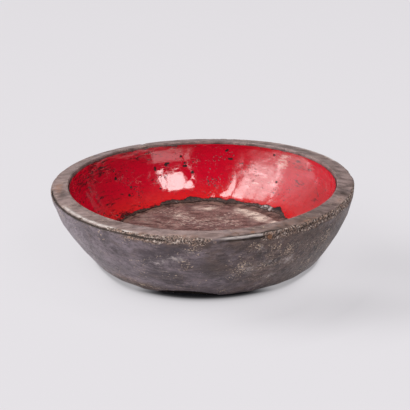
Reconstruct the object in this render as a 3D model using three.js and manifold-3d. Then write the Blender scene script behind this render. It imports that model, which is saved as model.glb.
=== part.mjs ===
// A hand-hewn serving bowl: one block of wood hollowed with adze and gouge, its foot flat and its
// heel chopped at the front, with a black ground coat and a red lacquer coat on the inner wall, and
// a dead knot that sits loose in the lip.
//
// Units are millimetres, +Z is up, and the bowl stands on Z = 0. It is a little out of round, so
// each section through its axis differs: the wood and both coats are lofted round the axis from
// sections that are worked out for each direction.

import * as THREE from "three";
import { mergeVertices } from "three/addons/utils/BufferGeometryUtils.js";
import Module from "manifold-3d";

// Overall sizes
const RIM_RADIUS = 190; // mean radius of the outer edge of the rim
const RIM_WIDTH = 22; // wood between the outer and the inner edge of the rim
const RIM_FALL = 2.8; // the outer edge lies this far below the inner edge
const HEIGHT = 99; // from the ground to the inner edge of the rim
const FOOT_RADIUS = 142.5; // where the outer wall, run on straight down, would meet the ground
const WALL_SWELL = 9.5; // how far the outer wall stands out past a straight line at mid height
const WALL_SWELL_LIFT = 0.4; // moves the fullest place of the swell up the wall
const FOOT_LEAN_X = 2.3; // the foot sits off the middle of the rim
const FOOT_LEAN_Y = 0.7;

// Heel, where the wall turns under to the foot
const HEEL_HEIGHT = 8;
const HEEL_DEPTH = 10;
const CHOP_BITE = 14.5; // the chop leaves the ground this far inside the corner of the foot
const CHOP_TILT = 34; // degrees above the ground
const CHOP_DIRECTION = -98; // degrees round the axis, -90 being the front

// Lip, with its worn edge and the undercut below it
const LIP_ROUND = 2;
const LIP_BEAD = 4; // height of the bead between the edge and the undercut
const UNDERCUT_WIDTH = 5;
const UNDERCUT_DEPTH = 1;
const INNER_EDGE_ROUND = 1.8;

// Hollow
const FLOOR_THICKNESS = 23.6;
const FLOOR_RADIUS = 111;
const GUTTER_WIDTH = 8; // groove between the floor and the wall
const GUTTER_DEPTH = 1.6;
const HOLLOW_PLUMB = 3.5; // how little the upper wall leans in over its upper part
const HOLLOW_PLUMB_SHARE = 0.43; // share of the depth that the upper part takes
const HOLLOW_COVE = 20; // reach of the cove from the gutter into the wall
const HOLLOW_COVE_RISE = 3.6;

// Out of round: how far each outline departs from a circle, and the direction of its fullest place
const RIM_OVAL = 7.2;
const RIM_OVAL_DIRECTION = 27;
const RIM_THREE_LOBE = 2;
const RIM_THREE_LOBE_DIRECTION = 30;
const HOLLOW_OVAL = 4.9;
const HOLLOW_OVAL_DIRECTION = 18;
const HOLLOW_THREE_LOBE = 2;
const HOLLOW_THREE_LOBE_DIRECTION = 34;
const FOOT_OVAL = 3.8;
const FOOT_OVAL_DIRECTION = -11;
const FOOT_THREE_LOBE = 3;
const FOOT_THREE_LOBE_DIRECTION = 15;

// Tool marks
const ADZE_CUTS_ROUND = 16;
const ADZE_CUTS_HIGH = 4;
const ADZE_DEPTH = 0.9;
const GOUGE_CUTS_ROUND = 16;
const GOUGE_CUTS_HIGH = 3;
const GOUGE_DEPTH = 0.5;

// Coats on the inner wall
const GROUND_COAT_THICKNESS = 0.7;
const LACQUER_THICKNESS = 0.6;
const COAT_GAP = 0.3; // between a coat and what it lies on
const COAT_TOP_DROP = 0.045; // the coats start this share of the wall below the inner edge
const LACQUER_STOP = 0.855; // share of the wall that the red coat covers
const LACQUER_STOP_SHIFT = 0.035; // the red coat stops higher on the right than on the left
const GROUND_STOP_BEYOND = 0.045; // the black coat reaches this much further down
const RAGGED_EDGE = 0.008; // waviness of the coats' edges

// Knot in the lip
const KNOT_DIAMETER = 6.4;
const KNOT_TAPER = 1; // the inner end is this much thinner
const KNOT_LENGTH = 9;
const KNOT_DROP = 5.4; // below the outer edge of the rim
const KNOT_DIRECTION = -65;
const KNOT_CLEARANCE = 0.3;

// Fineness of the facets
const STEPS_ROUND = 64;
const WALL_ROWS = 10;
const HEEL_ROWS = 4;
const HOLLOW_ROWS = 12;
const KNOT_SIDES = 16;

const radians = THREE.MathUtils.degToRad;
const lerp = THREE.MathUtils.lerp;

const wasm = await Module();
wasm.setup();

// Outlines seen from above

// A closed wave round the axis with the given number of crests, the first one in a direction.
function lobes(angle, count, size, direction) {
  return size * Math.cos(count * (angle - radians(direction)));
}

function rimRadius(angle) {
  return (
    RIM_RADIUS +
    lobes(angle, 2, RIM_OVAL, RIM_OVAL_DIRECTION) +
    lobes(angle, 3, RIM_THREE_LOBE, RIM_THREE_LOBE_DIRECTION)
  );
}

function hollowRadius(angle) {
  return (
    RIM_RADIUS -
    RIM_WIDTH +
    lobes(angle, 2, HOLLOW_OVAL, HOLLOW_OVAL_DIRECTION) +
    lobes(angle, 3, HOLLOW_THREE_LOBE, HOLLOW_THREE_LOBE_DIRECTION)
  );
}

function footRadius(angle) {
  return (
    FOOT_RADIUS +
    lobes(angle, 2, FOOT_OVAL, FOOT_OVAL_DIRECTION) +
    lobes(angle, 3, FOOT_THREE_LOBE, FOOT_THREE_LOBE_DIRECTION)
  );
}

// How deep a round-bottomed cut is at a place between 0 and 1 across it.
function scoop(place) {
  return 4 * place * (1 - place);
}

// Depth of the cuts that a blade leaves in staggered rows: angle round the axis, share down the wall.
function toolMarks(angle, share, cutsRound, cutsHigh, depth) {
  const row = share * cutsHigh;
  const rowNumber = Math.floor(row);
  const column = (angle / (2 * Math.PI)) * cutsRound + rowNumber / 2;
  return depth * scoop(column - Math.floor(column)) * scoop(row - rowNumber);
}

// Outer wall

// The outer wall as a point of radius and height; share runs from 0 at the rim to 1 at the ground.
function outerWall(angle, share) {
  const swell = WALL_SWELL * scoop(share) * (1 - WALL_SWELL_LIFT * (share - 0.5));
  const marks = toolMarks(angle, share, ADZE_CUTS_ROUND, ADZE_CUTS_HIGH, ADZE_DEPTH);
  const radius = lerp(rimRadius(angle), footRadius(angle), share) + swell - marks;
  return new THREE.Vector2(radius, lerp(HEIGHT - RIM_FALL, 0, share));
}

// The worn lip from the undercut up to the top of the rim.
function lipPoints(angle) {
  const edgeHeight = HEIGHT - RIM_FALL;
  const wallAt = (drop) => outerWall(angle, drop / edgeHeight);
  const beadEnd = LIP_ROUND + LIP_BEAD;
  const undercut = wallAt(beadEnd + UNDERCUT_WIDTH / 2);
  undercut.x -= UNDERCUT_DEPTH;
  const edge = wallAt(LIP_ROUND);
  const top = wallAt(0);
  const corner = LIP_ROUND * (1 - Math.SQRT1_2);
  return [
    wallAt(beadEnd + UNDERCUT_WIDTH),
    undercut,
    wallAt(beadEnd),
    edge,
    new THREE.Vector2(edge.x - corner, top.y - corner),
    new THREE.Vector2(edge.x - LIP_ROUND, top.y),
  ];
}

// The outer side of a section, from the middle of the foot to the top of the rim.
function outerSide(angle) {
  const edgeHeight = HEIGHT - RIM_FALL;
  const wallEnd = 1 - HEEL_HEIGHT / edgeHeight;
  const wallStart = (LIP_ROUND + LIP_BEAD + UNDERCUT_WIDTH) / edgeHeight;
  const heelTop = outerWall(angle, wallEnd);
  const corner = outerWall(angle, 1);
  const heelFoot = new THREE.Vector2(corner.x - HEEL_DEPTH, 0);
  const heel = new THREE.QuadraticBezierCurve(heelFoot, corner, heelTop).getPoints(HEEL_ROWS);
  const wall = [];
  for (let row = 1; row < WALL_ROWS; row++) {
    wall.push(outerWall(angle, lerp(wallEnd, wallStart, row / WALL_ROWS)));
  }
  return [new THREE.Vector2(0, 0), ...heel, ...wall, ...lipPoints(angle)];
}

// Hollow

// The inner wall as a curve from the inner edge of the rim down to the bottom of the gutter.
function hollowCurve(angle) {
  const top = new THREE.Vector2(hollowRadius(angle), HEIGHT - INNER_EDGE_ROUND);
  const bottom = new THREE.Vector2(
    FLOOR_RADIUS + GUTTER_WIDTH / 2,
    FLOOR_THICKNESS - GUTTER_DEPTH,
  );
  const upperEnd = lerp(top.y, bottom.y, HOLLOW_PLUMB_SHARE);
  return new THREE.CubicBezierCurve(
    top,
    new THREE.Vector2(top.x - HOLLOW_PLUMB, upperEnd),
    new THREE.Vector2(bottom.x + HOLLOW_COVE, bottom.y + HOLLOW_COVE_RISE),
    bottom,
  );
}

// A place on the curve of the inner wall, moved off the wood towards the axis by a distance.
function curvedWall(angle, share, offset) {
  const curve = hollowCurve(angle);
  const point = curve.getPoint(share);
  const along = curve.getTangent(share);
  const marks = toolMarks(angle, share, GOUGE_CUTS_ROUND, GOUGE_CUTS_HIGH, GOUGE_DEPTH);
  const distance = offset - marks;
  return new THREE.Vector2(point.x + along.y * distance, point.y - along.x * distance);
}

// The same place on the wall as it is faceted, so that what lies on the wall keeps its gap to it.
function innerWall(angle, share, offset) {
  const row = Math.min(Math.floor(share * HOLLOW_ROWS), HOLLOW_ROWS - 1);
  const above = curvedWall(angle, row / HOLLOW_ROWS, offset);
  const below = curvedWall(angle, (row + 1) / HOLLOW_ROWS, offset);
  return above.lerp(below, share * HOLLOW_ROWS - row);
}

// The inner side of a section, from the top of the rim to the middle of the floor.
function innerSide(angle) {
  const edge = innerWall(angle, 0, 0);
  const corner = INNER_EDGE_ROUND * (1 - Math.SQRT1_2);
  const wall = [];
  for (let row = 0; row <= HOLLOW_ROWS; row++) {
    wall.push(innerWall(angle, row / HOLLOW_ROWS, 0));
  }
  return [
    new THREE.Vector2(edge.x + INNER_EDGE_ROUND, HEIGHT),
    new THREE.Vector2(edge.x + corner, HEIGHT - corner),
    ...wall,
    new THREE.Vector2(FLOOR_RADIUS, FLOOR_THICKNESS - GUTTER_DEPTH / 4),
    new THREE.Vector2(FLOOR_RADIUS - GUTTER_DEPTH, FLOOR_THICKNESS),
    new THREE.Vector2(0, FLOOR_THICKNESS),
  ];
}

// Lofting

// A point of a section placed round the axis; low places follow the lean of the foot.
function placed(angle, point, lean) {
  const sink = lean * (1 - point.y / (HEIGHT - RIM_FALL));
  return new THREE.Vector3(
    point.x * Math.cos(angle) + FOOT_LEAN_X * sink,
    point.x * Math.sin(angle) + FOOT_LEAN_Y * sink,
    point.y,
  );
}

// Joins the sections of all directions to one closed skin. Each section runs with the wood on its
// left, and a ring's section closes on itself.
function loftRound(sectionAt, isRing) {
  const sections = [];
  for (let step = 0; step < STEPS_ROUND; step++) {
    sections.push(sectionAt((2 * Math.PI * step) / STEPS_ROUND));
  }
  const rows = sections[0].length;
  const index = [];
  const corner = (step, row) => (step % STEPS_ROUND) * rows + (row % rows);
  for (let step = 0; step < STEPS_ROUND; step++) {
    for (let row = 0; row < (isRing ? rows : rows - 1); row++) {
      const low = [corner(step, row), corner(step + 1, row)];
      const high = [corner(step, row + 1), corner(step + 1, row + 1)];
      index.push(low[0], low[1], high[1], low[0], high[1], high[0]);
    }
  }
  const geometry = new THREE.BufferGeometry().setFromPoints(sections.flat());
  geometry.setIndex(index);
  return welded(geometry);
}

// Merges corners that lie on each other and drops the facets that this leaves without area.
function welded(geometry) {
  const bare = geometry.clone();
  bare.deleteAttribute("normal");
  bare.deleteAttribute("uv");
  const merged = mergeVertices(bare);
  const corners = merged.index.array;
  const kept = [];
  for (let i = 0; i < corners.length; i += 3) {
    const [a, b, c] = corners.slice(i, i + 3);
    if (a !== b && b !== c && c !== a) {
      kept.push(a, b, c);
    }
  }
  merged.setIndex(kept);
  return merged;
}

// Solids

function solidOf(geometry) {
  const clean = welded(geometry);
  return new wasm.Manifold(
    new wasm.Mesh({
      numProp: 3,
      vertProperties: new Float32Array(clean.attributes.position.array),
      triVerts: new Uint32Array(clean.index.array),
    }),
  );
}

function geometryOf(solid) {
  const mesh = solid.getMesh();
  const geometry = new THREE.BufferGeometry();
  geometry.setAttribute("position", new THREE.BufferAttribute(mesh.vertProperties, 3));
  geometry.setIndex(new THREE.BufferAttribute(mesh.triVerts, 1));
  geometry.computeVertexNormals();
  return geometry;
}

// The hewn block: foot, outer wall, lip, rim, hollow and floor in one piece of wood.
function hewnBlock() {
  return loftRound((angle) => {
    const outside = outerSide(angle).map((point) => placed(angle, point, 1));
    const inside = innerSide(angle).map((point) => placed(angle, point, 0));
    return [...outside, ...inside];
  }, false);
}

// The wedge of air that the chop at the heel left under the front of the foot.
function heelChop() {
  const reach = RIM_RADIUS + RIM_OVAL;
  const wedge = new THREE.BoxGeometry(reach, 2 * reach, HEIGHT);
  wedge.translate(reach / 2, 0, -HEIGHT / 2);
  wedge.rotateY(-radians(CHOP_TILT));
  wedge.translate(FOOT_RADIUS - CHOP_BITE, 0, 0);
  wedge.rotateZ(radians(CHOP_DIRECTION));
  return wedge;
}

// A round taper on the knot's axis: square to the outer wall, widest at the wall's face.
function knotTaper(clearance) {
  const angle = radians(KNOT_DIRECTION);
  const centre = placed(angle, outerWall(angle, KNOT_DROP / (HEIGHT - RIM_FALL)), 1);
  const outerEnd = KNOT_DIAMETER / 2; // stands out of the face, to be trimmed flush with it
  const innerEnd = KNOT_LENGTH + clearance;
  const taper = new THREE.CylinderGeometry(
    KNOT_DIAMETER / 2 + clearance,
    (KNOT_DIAMETER - KNOT_TAPER) / 2 + clearance,
    outerEnd + innerEnd,
    KNOT_SIDES,
  );
  taper.translate(0, (outerEnd - innerEnd) / 2, 0);
  taper.rotateZ(-Math.PI / 2);
  taper.rotateZ(angle);
  taper.translate(centre.x, centre.y, centre.z);
  return taper;
}

// Coats

// Where a coat's lower edge lies on the wall: higher on the right, and ragged all round.
function coatStop(angle, stop) {
  const ragged = Math.sin(5 * angle + 1) + Math.sin(9 * angle) + Math.sin(14 * angle + 2);
  return stop - LACQUER_STOP_SHIFT * Math.cos(angle) + RAGGED_EDGE * ragged;
}

// A thin skin on the inner wall, from just below the inner edge of the rim to its ragged stop.
function coat(offset, thickness, stop) {
  return loftRound((angle) => {
    const end = coatStop(angle, stop);
    const shares = [COAT_TOP_DROP];
    for (let row = 1; row <= HOLLOW_ROWS; row++) {
      shares.push(Math.min(row / HOLLOW_ROWS, end));
    }
    const back = shares.map((share) => innerWall(angle, share, offset)).reverse();
    const face = shares.map((share) => innerWall(angle, share, offset + thickness));
    return [...back, ...face].map((point) => placed(angle, point, 0));
  }, true);
}

function groundCoat() {
  return coat(COAT_GAP, GROUND_COAT_THICKNESS, LACQUER_STOP + GROUND_STOP_BEYOND);
}

function lacquerCoat() {
  const offset = COAT_GAP + GROUND_COAT_THICKNESS + COAT_GAP;
  return coat(offset, LACQUER_THICKNESS, LACQUER_STOP);
}

// Assembly

function piece(name, geometry, color, roughness) {
  const material = new THREE.MeshStandardMaterial({ color, roughness, metalness: 0 });
  const mesh = new THREE.Mesh(geometry, material);
  mesh.name = name;
  return mesh;
}

function bowl() {
  const block = solidOf(hewnBlock()).subtract(solidOf(heelChop()));
  const knot = solidOf(knotTaper(0)).intersect(block);
  const body = block.subtract(solidOf(knotTaper(KNOT_CLEARANCE)));
  const pieces = new THREE.Group();
  pieces.add(
    piece("bowl_body", geometryOf(body), 0x5a5052, 0.55),
    piece("ground_coat", groundCoat(), 0x1c1819, 0.5),
    piece("lacquer_coat", lacquerCoat(), 0xb4101c, 0.2),
    piece("rim_knot", geometryOf(knot), 0x6b4226, 0.7),
  );
  return pieces;
}

// The origin is on the ground, in the middle of the whole bowl's outline.
function stoodOnOrigin(pieces) {
  const middle = new THREE.Box3().setFromObject(pieces).getCenter(new THREE.Vector3());
  pieces.position.set(-middle.x, -middle.y, 0);
  const group = new THREE.Group();
  group.add(pieces);
  return group;
}

const group = stoodOnOrigin(bowl());

export default group;
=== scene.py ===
"""Looks of a hand-hewn wooden serving bowl, built round its construction in model.glb.

The bowl is one hewn block with a black ground coat and a red lacquer coat on its inner wall, and a
dead knot in its lip. Each of these is a class that holds its sizes and makes and dresses its mesh.

Sizes are in millimetres, +Z is up, and the bowl stands on Z = 0. Meshes are scaled to metres as they
are made. A place on the bowl is given by its turn, which is the angle round the axis in degrees with
-90 at the front, and by its drop, which is the distance down the wall from the rim.
"""

import logging
import math
from collections.abc import Callable
from dataclasses import dataclass, field
from enum import Enum
from functools import partial, reduce

import bpy
import numpy as np
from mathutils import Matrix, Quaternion, Vector


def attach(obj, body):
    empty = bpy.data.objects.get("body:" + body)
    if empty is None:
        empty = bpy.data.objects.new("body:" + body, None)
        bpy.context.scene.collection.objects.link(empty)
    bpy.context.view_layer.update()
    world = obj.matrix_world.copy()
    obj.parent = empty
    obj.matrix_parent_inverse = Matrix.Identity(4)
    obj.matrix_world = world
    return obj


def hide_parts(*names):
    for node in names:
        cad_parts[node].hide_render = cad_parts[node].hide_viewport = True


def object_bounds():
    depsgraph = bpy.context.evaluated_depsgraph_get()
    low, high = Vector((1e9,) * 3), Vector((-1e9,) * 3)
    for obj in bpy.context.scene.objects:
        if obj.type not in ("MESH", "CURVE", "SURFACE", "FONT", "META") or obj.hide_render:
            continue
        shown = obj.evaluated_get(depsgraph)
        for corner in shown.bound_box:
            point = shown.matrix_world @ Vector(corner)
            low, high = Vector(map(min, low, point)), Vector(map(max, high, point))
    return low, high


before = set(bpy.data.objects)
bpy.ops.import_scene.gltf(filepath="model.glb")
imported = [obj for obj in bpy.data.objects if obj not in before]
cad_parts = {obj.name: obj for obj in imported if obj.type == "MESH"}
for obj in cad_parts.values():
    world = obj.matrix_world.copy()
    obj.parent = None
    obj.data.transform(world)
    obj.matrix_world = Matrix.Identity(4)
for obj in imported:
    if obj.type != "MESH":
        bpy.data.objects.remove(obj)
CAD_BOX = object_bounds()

Array = np.ndarray
Colour = tuple[float, float, float]
Squeeze = tuple[float, float, float]
Socket = bpy.types.NodeSocket
Value = float | bpy.types.NodeSocket
Paint = Colour | bpy.types.NodeSocket
Look = tuple[dict[str, Value], list[tuple[Socket, float]]]

METRES = 0.001
TAU = 2 * math.pi
LOG = logging.getLogger("bowl")


def smooth(value: Array | float, low: float, high: float) -> Array | float:
    """Rises smoothly from 0 at low to 1 at high."""
    share = np.clip((value - low) / (high - low), 0, 1)
    return share * share * (3 - 2 * share)


def scoop(share: Array) -> Array:
    """Gives the depth of a round-bottomed cut at a place between 0 and 1 across it."""
    return 4 * share * (1 - share)


def blend(start: Array | float, end: Array | float, share: Array | float) -> Array | float:
    """Mixes two values by a share from 0 to 1."""
    return start * (1 - share) + end * share


def turn_gap(turn: Array, centre: float) -> Array:
    """Gives the signed angle in degrees from a direction to each turn in radians."""
    return (np.degrees(turn) - centre + 180) % 360 - 180


class Noise:
    """Smooth noise in space that is the same on every run."""

    SIDE = 48
    SHIFT = 17.3

    def __init__(self, seed: int) -> None:
        """Draws the lattice's values.

        Args:
            seed: Start of the random draw, so that two effects can differ.
        """
        shape = (self.SIDE,) * 3
        self.values = np.random.default_rng(seed).uniform(-1, 1, shape)

    def at(self, points: Array, size: float) -> Array:
        """Reads the noise.

        Args:
            points: Places in millimetres, with X, Y and Z in the last axis.
            size: Distance between two lumps in millimetres.

        Returns:
            Values between -1 and 1, one for each place.
        """
        places = points / size
        cell = np.floor(places)
        share = places - cell
        share = share * share * (3 - 2 * share)
        low = cell.astype(int) % self.SIDE
        high = (low + 1) % self.SIDE
        total = np.zeros(points.shape[:-1])
        for corner in range(8):
            picks = [(corner >> axis) & 1 for axis in range(3)]
            index = tuple((high if pick else low)[..., axis] for axis, pick in enumerate(picks))
            weight = np.ones(points.shape[:-1])
            for axis, pick in enumerate(picks):
                weight = weight * (share[..., axis] if pick else 1 - share[..., axis])
            total += weight * self.values[index]
        return total

    def layered(self, points: Array, size: float, layers: int = 3) -> Array:
        """Adds finer and weaker noise to coarse noise.

        Args:
            points: Places in millimetres.
            size: Distance between two of the coarsest lumps.
            layers: How many sizes are added, each half of the one before.

        Returns:
            Values between -1 and 1, one for each place.
        """
        total = np.zeros(points.shape[:-1])
        for layer in range(layers):
            total += self.at(points + self.SHIFT * layer, size / 2**layer) / 2**layer
        return total / (2 - 2 ** (1 - layers))


@dataclass(frozen=True)
class Wave:
    """A closed wave round the axis: its crests, its size, and the turn of its first crest."""

    crests: int
    size: float
    toward: float

    def at(self, turn: Array) -> Array:
        """Gives the wave's height at each turn in radians."""
        return self.size * np.cos(self.crests * (turn - math.radians(self.toward)))


@dataclass(frozen=True)
class Outline:
    """An outline seen from above that is a little out of round."""

    radius: float
    waves: tuple[Wave, ...]

    def at(self, turn: Array) -> Array:
        """Gives the outline's radius at each turn in radians."""
        return self.radius + sum(wave.at(turn) for wave in self.waves)


@dataclass(frozen=True)
class Strokes:
    """Round-bottomed cuts of one blade, scattered over a wall in staggered rows."""

    seed: int
    wide: float
    high: float
    depth: float
    scatter: float = 0.35
    step_across: float = 0.72
    step_down: float = 0.66
    spread: tuple[float, float] = (0.8, 1.25)

    def depth_at(self, around: Array, down: Array, girth: float, fall: float) -> Array:
        """Gives the depth of the deepest stroke at each place.

        Args:
            around: Distance round the wall in millimetres.
            down: Distance down the wall in millimetres.
            girth: Length of one turn round the wall.
            fall: Length of the wall from top to bottom.

        Returns:
            Depth in millimetres, 0 between strokes that don't meet.
        """
        draw = np.random.default_rng(self.seed)
        columns = max(3, round(girth / (self.step_across * self.wide)))
        rows = max(1, math.ceil(fall / (self.step_down * self.high)) + 1)
        deepest = np.zeros(np.broadcast(around, down).shape)
        for row in range(rows):
            for column in range(columns):
                shift = draw.uniform(-self.scatter, self.scatter, 2)
                size = draw.uniform(*self.spread, 3)
                middle = (column + 0.5 * (row % 2) + shift[0]) * girth / columns
                level = (row + shift[1]) * fall / max(1, rows - 1)
                gap = (around - middle + girth / 2) % girth - girth / 2
                across = (2 * gap / (self.wide * size[0])) ** 2
                along = (2 * (down - level) / (self.high * size[1])) ** 2
                deepest = np.maximum(deepest, self.depth * size[2] * (1 - across - along))
        return deepest


@dataclass(frozen=True)
class Line:
    """A groove along the lip from one turn and drop to another, or a bead if its depth is negative."""

    start: tuple[float, float]
    end: tuple[float, float]
    width: float
    depth: float
    fade: float = 6.0

    def depth_at(self, turn: Array, drop: Array) -> Array:
        """Gives the line's depth in millimetres at each place.

        Args:
            turn: Angle round the axis in radians.
            drop: Distance down the wall, negative on the rim.

        Returns:
            Depth in millimetres, below 0 for a bead.
        """
        middle = (self.start[0] + self.end[0]) / 2
        half = (self.end[0] - self.start[0]) / 2
        gap = turn_gap(turn, middle)
        centre = blend(self.start[1], self.end[1], np.clip(0.5 + gap / (2 * half), 0, 1))
        off = 2 * (drop - centre) / self.width
        return self.depth * np.exp(-off * off) * (1 - smooth(np.abs(gap), half - self.fade, half))


@dataclass(frozen=True)
class Fray:
    """A stretch of the lip between two turns and two drops, where the wood is torn and crusty."""

    start: float
    end: float
    top: float
    bottom: float
    depth: float
    fade: float = 6.0
    waver: float = 2.2

    def share(self, turn: Array, drop: Array, waver: Array) -> Array:
        """Gives how torn each place is, from 0 to 1, with a ragged outline.

        Args:
            turn: Angle round the axis in radians.
            drop: Distance down the wall, negative on the rim.
            waver: Noise that makes the outline ragged.

        Returns:
            Share from 0 to 1 for each place.
        """
        middle = (self.start + self.end) / 2
        half = (self.end - self.start) / 2
        along = 1 - smooth(np.abs(turn_gap(turn, middle)) + 2 * waver, half - self.fade, half)
        drop = drop + self.waver * waver
        upper = smooth(drop, self.top - 1, self.top + 1)
        lower = 1 - smooth(drop, self.bottom - 1.2, self.bottom + 1.2)
        return along * upper * lower


@dataclass(frozen=True)
class Mark:
    """A soft oval mark on a wall or the floor: its place, its half width and height, its strength."""

    across: float
    down: float
    wide: float
    high: float
    strength: float = 1.0

    def on_wall(self, turn: Array, down: Array) -> Array:
        """Gives the mark's share on a wall, where it lies across at a turn in degrees."""
        return self._oval(turn_gap(turn, self.across), down)

    def on_floor(self, points: Array) -> Array:
        """Gives the mark's share at points of a flat floor, in millimetres."""
        return self._oval(points[..., 0] - self.across, points[..., 1])

    def _oval(self, aside: Array, down: Array) -> Array:
        """Gives a share that is the strength in the middle and fades to 0."""
        rise = (down - self.down) / self.high
        return self.strength * np.exp(-((aside / self.wide) ** 2) - rise**2)


def marks(*rows: tuple[float, ...]) -> tuple[Mark, ...]:
    """Makes a mark from each row: across, down, half width, half height and strength."""
    return tuple(Mark(*row) for row in rows)


@dataclass(frozen=True)
class Layer:
    """The marks of one mask on a wall, and how far noise pushes their outlines."""

    name: str
    push: float
    marks: tuple[Mark, ...]

    def share(self, turn: Array, down: Array, waver: Array) -> Array:
        """Gives the strongest of the marks at each place, or 0 where there are none.

        Args:
            turn: Angle round the axis in radians.
            down: Distance down the wall, in the marks' own unit.
            waver: Noise that pushes the outlines.

        Returns:
            Share for each place.
        """
        down = down + self.push * waver
        nothing = np.zeros(np.broadcast_shapes(turn.shape, down.shape))
        return np.maximum.reduce([nothing, *(mark.on_wall(turn, down) for mark in self.marks)])


class Grid:
    """Points in columns round the axis and rows along it, made into a mesh."""

    SHARP_DEGREES = 50

    @staticmethod
    def normals(points: Array) -> Array:
        """Gives each point's normal, where columns go round the axis and close.

        Args:
            points: Places by column and row.

        Returns:
            Unit normals by column and row.
        """
        across = np.roll(points, -1, axis=0) - np.roll(points, 1, axis=0)
        found = np.cross(across, np.gradient(points, axis=1))
        length = np.linalg.norm(found, axis=-1, keepdims=True)
        return found / np.maximum(length, 1e-9)

    @staticmethod
    def cells(columns: int, rows: int) -> Array:
        """Numbers the points column by column, and gives the four round each cell.

        Args:
            columns: How many columns of points go round the axis.
            rows: How many points each column has.

        Returns:
            Point numbers by column, row and corner.
        """
        number = np.arange(columns * rows).reshape(columns, rows)
        following = np.roll(number, -1, axis=0)
        corners = [number[:, :-1], following[:, :-1], following[:, 1:], number[:, 1:]]
        return np.stack(corners, axis=-1)

    @staticmethod
    def build(
        name: str, vertices: Array, faces: list[list[int]], masks: dict[str, Array]
    ) -> bpy.types.Object:
        """Makes a smooth-shaded object from points in millimetres.

        Args:
            name: The piece's name.
            vertices: Places in millimetres.
            faces: Vertex numbers of each face.
            masks: One number for each vertex, stored under their names for the materials.

        Returns:
            The new object.
        """
        mesh = bpy.data.meshes.new(name)
        mesh.from_pydata((vertices * METRES).tolist(), [], faces)
        mesh.validate()
        mesh.shade_smooth()
        for key, values in masks.items():
            layer = mesh.attributes.new(key, "FLOAT", "POINT")
            layer.data.foreach_set("value", values.astype(np.float32).ravel())
        piece = bpy.data.objects.new(name, mesh)
        bpy.context.scene.collection.objects.link(piece)
        return piece

    @classmethod
    def closed_by_poles(cls, name: str, points: Array, masks: dict[str, Array]) -> bpy.types.Object:
        """Makes a solid whose first and last rows each meet in one point on the axis.

        Args:
            name: The piece's name.
            points: Places by column and row, in millimetres.
            masks: Numbers by column and row, stored under their names.

        Returns:
            The new object.
        """
        columns, rows = points.shape[:2]
        ends = [points[:, 0].mean(axis=0), points[:, -1].mean(axis=0)]
        vertices = np.vstack([points[:, 1:-1].reshape(-1, 3), *ends])
        cells = cls.cells(columns, rows - 2)
        low, high = len(vertices) - 2, len(vertices) - 1
        faces = cells.reshape(-1, 4).tolist()
        faces += [[low, following, number] for number, following in cells[:, 0, :2].tolist()]
        faces += [[high, number, following] for following, number in cells[:, -1, 2:].tolist()]
        flat = {
            key: np.concatenate([values[:, 1:-1].ravel(), [values[:, 0].mean(), values[:, -1].mean()]])
            for key, values in masks.items()
        }
        return cls.build(name, vertices, faces, flat)

    @classmethod
    def disc(cls, name: str, points: Array, masks: dict[str, Array]) -> bpy.types.Object:
        """Makes a flat open sheet from rings of points round a filled middle.

        Args:
            name: The piece's name.
            points: Places by column and ring, in millimetres.
            masks: Numbers by column and ring, stored under their names.

        Returns:
            The new object.
        """
        cells = cls.cells(*points.shape[:2])
        faces = cells[..., [0, 3, 2, 1]].reshape(-1, 4).tolist()
        faces.append(cells[:, 0, 0].tolist())
        return cls.build(name, points.reshape(-1, 3), faces, masks)

    @classmethod
    def shell(
        cls, name: str, face: Array, back: Array, present: Array, masks: dict[str, Array]
    ) -> bpy.types.Object:
        """Makes a thin skin with a thickness, open where cells are absent.

        Args:
            name: The piece's name.
            face: Places of the seen side by column and row, in millimetres.
            back: Places of the hidden side, in the same order.
            present: Whether each cell between four points is there.
            masks: Numbers by column and row, stored under their names.

        Returns:
            The new object.
        """
        columns, rows = face.shape[:2]
        cells = cls.cells(columns, rows)
        blank = np.zeros((columns, 1), bool)
        neighbours = [
            np.hstack([blank, present[:, :-1]]),
            np.roll(present, -1, axis=0),
            np.hstack([present[:, 1:], blank]),
            np.roll(present, 1, axis=0),
        ]
        under = columns * rows
        quads = [cells[present], cells[present][:, ::-1] + under]
        for side, neighbour in enumerate(neighbours):
            edge = present & ~neighbour
            start = cells[..., side][edge]
            end = cells[..., (side + 1) % 4][edge]
            quads.append(np.stack([end, start, start + under, end + under], axis=-1))
        faces = np.concatenate(quads)
        used, renumbered = np.unique(faces, return_inverse=True)
        vertices = np.vstack([face.reshape(-1, 3), back.reshape(-1, 3)])[used]
        flat = {key: np.tile(values.ravel(), 2)[used] for key, values in masks.items()}
        piece = cls.build(name, vertices, renumbered.reshape(faces.shape).tolist(), flat)
        piece.data.set_sharp_from_angle(angle=math.radians(cls.SHARP_DEGREES))
        return piece


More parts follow.
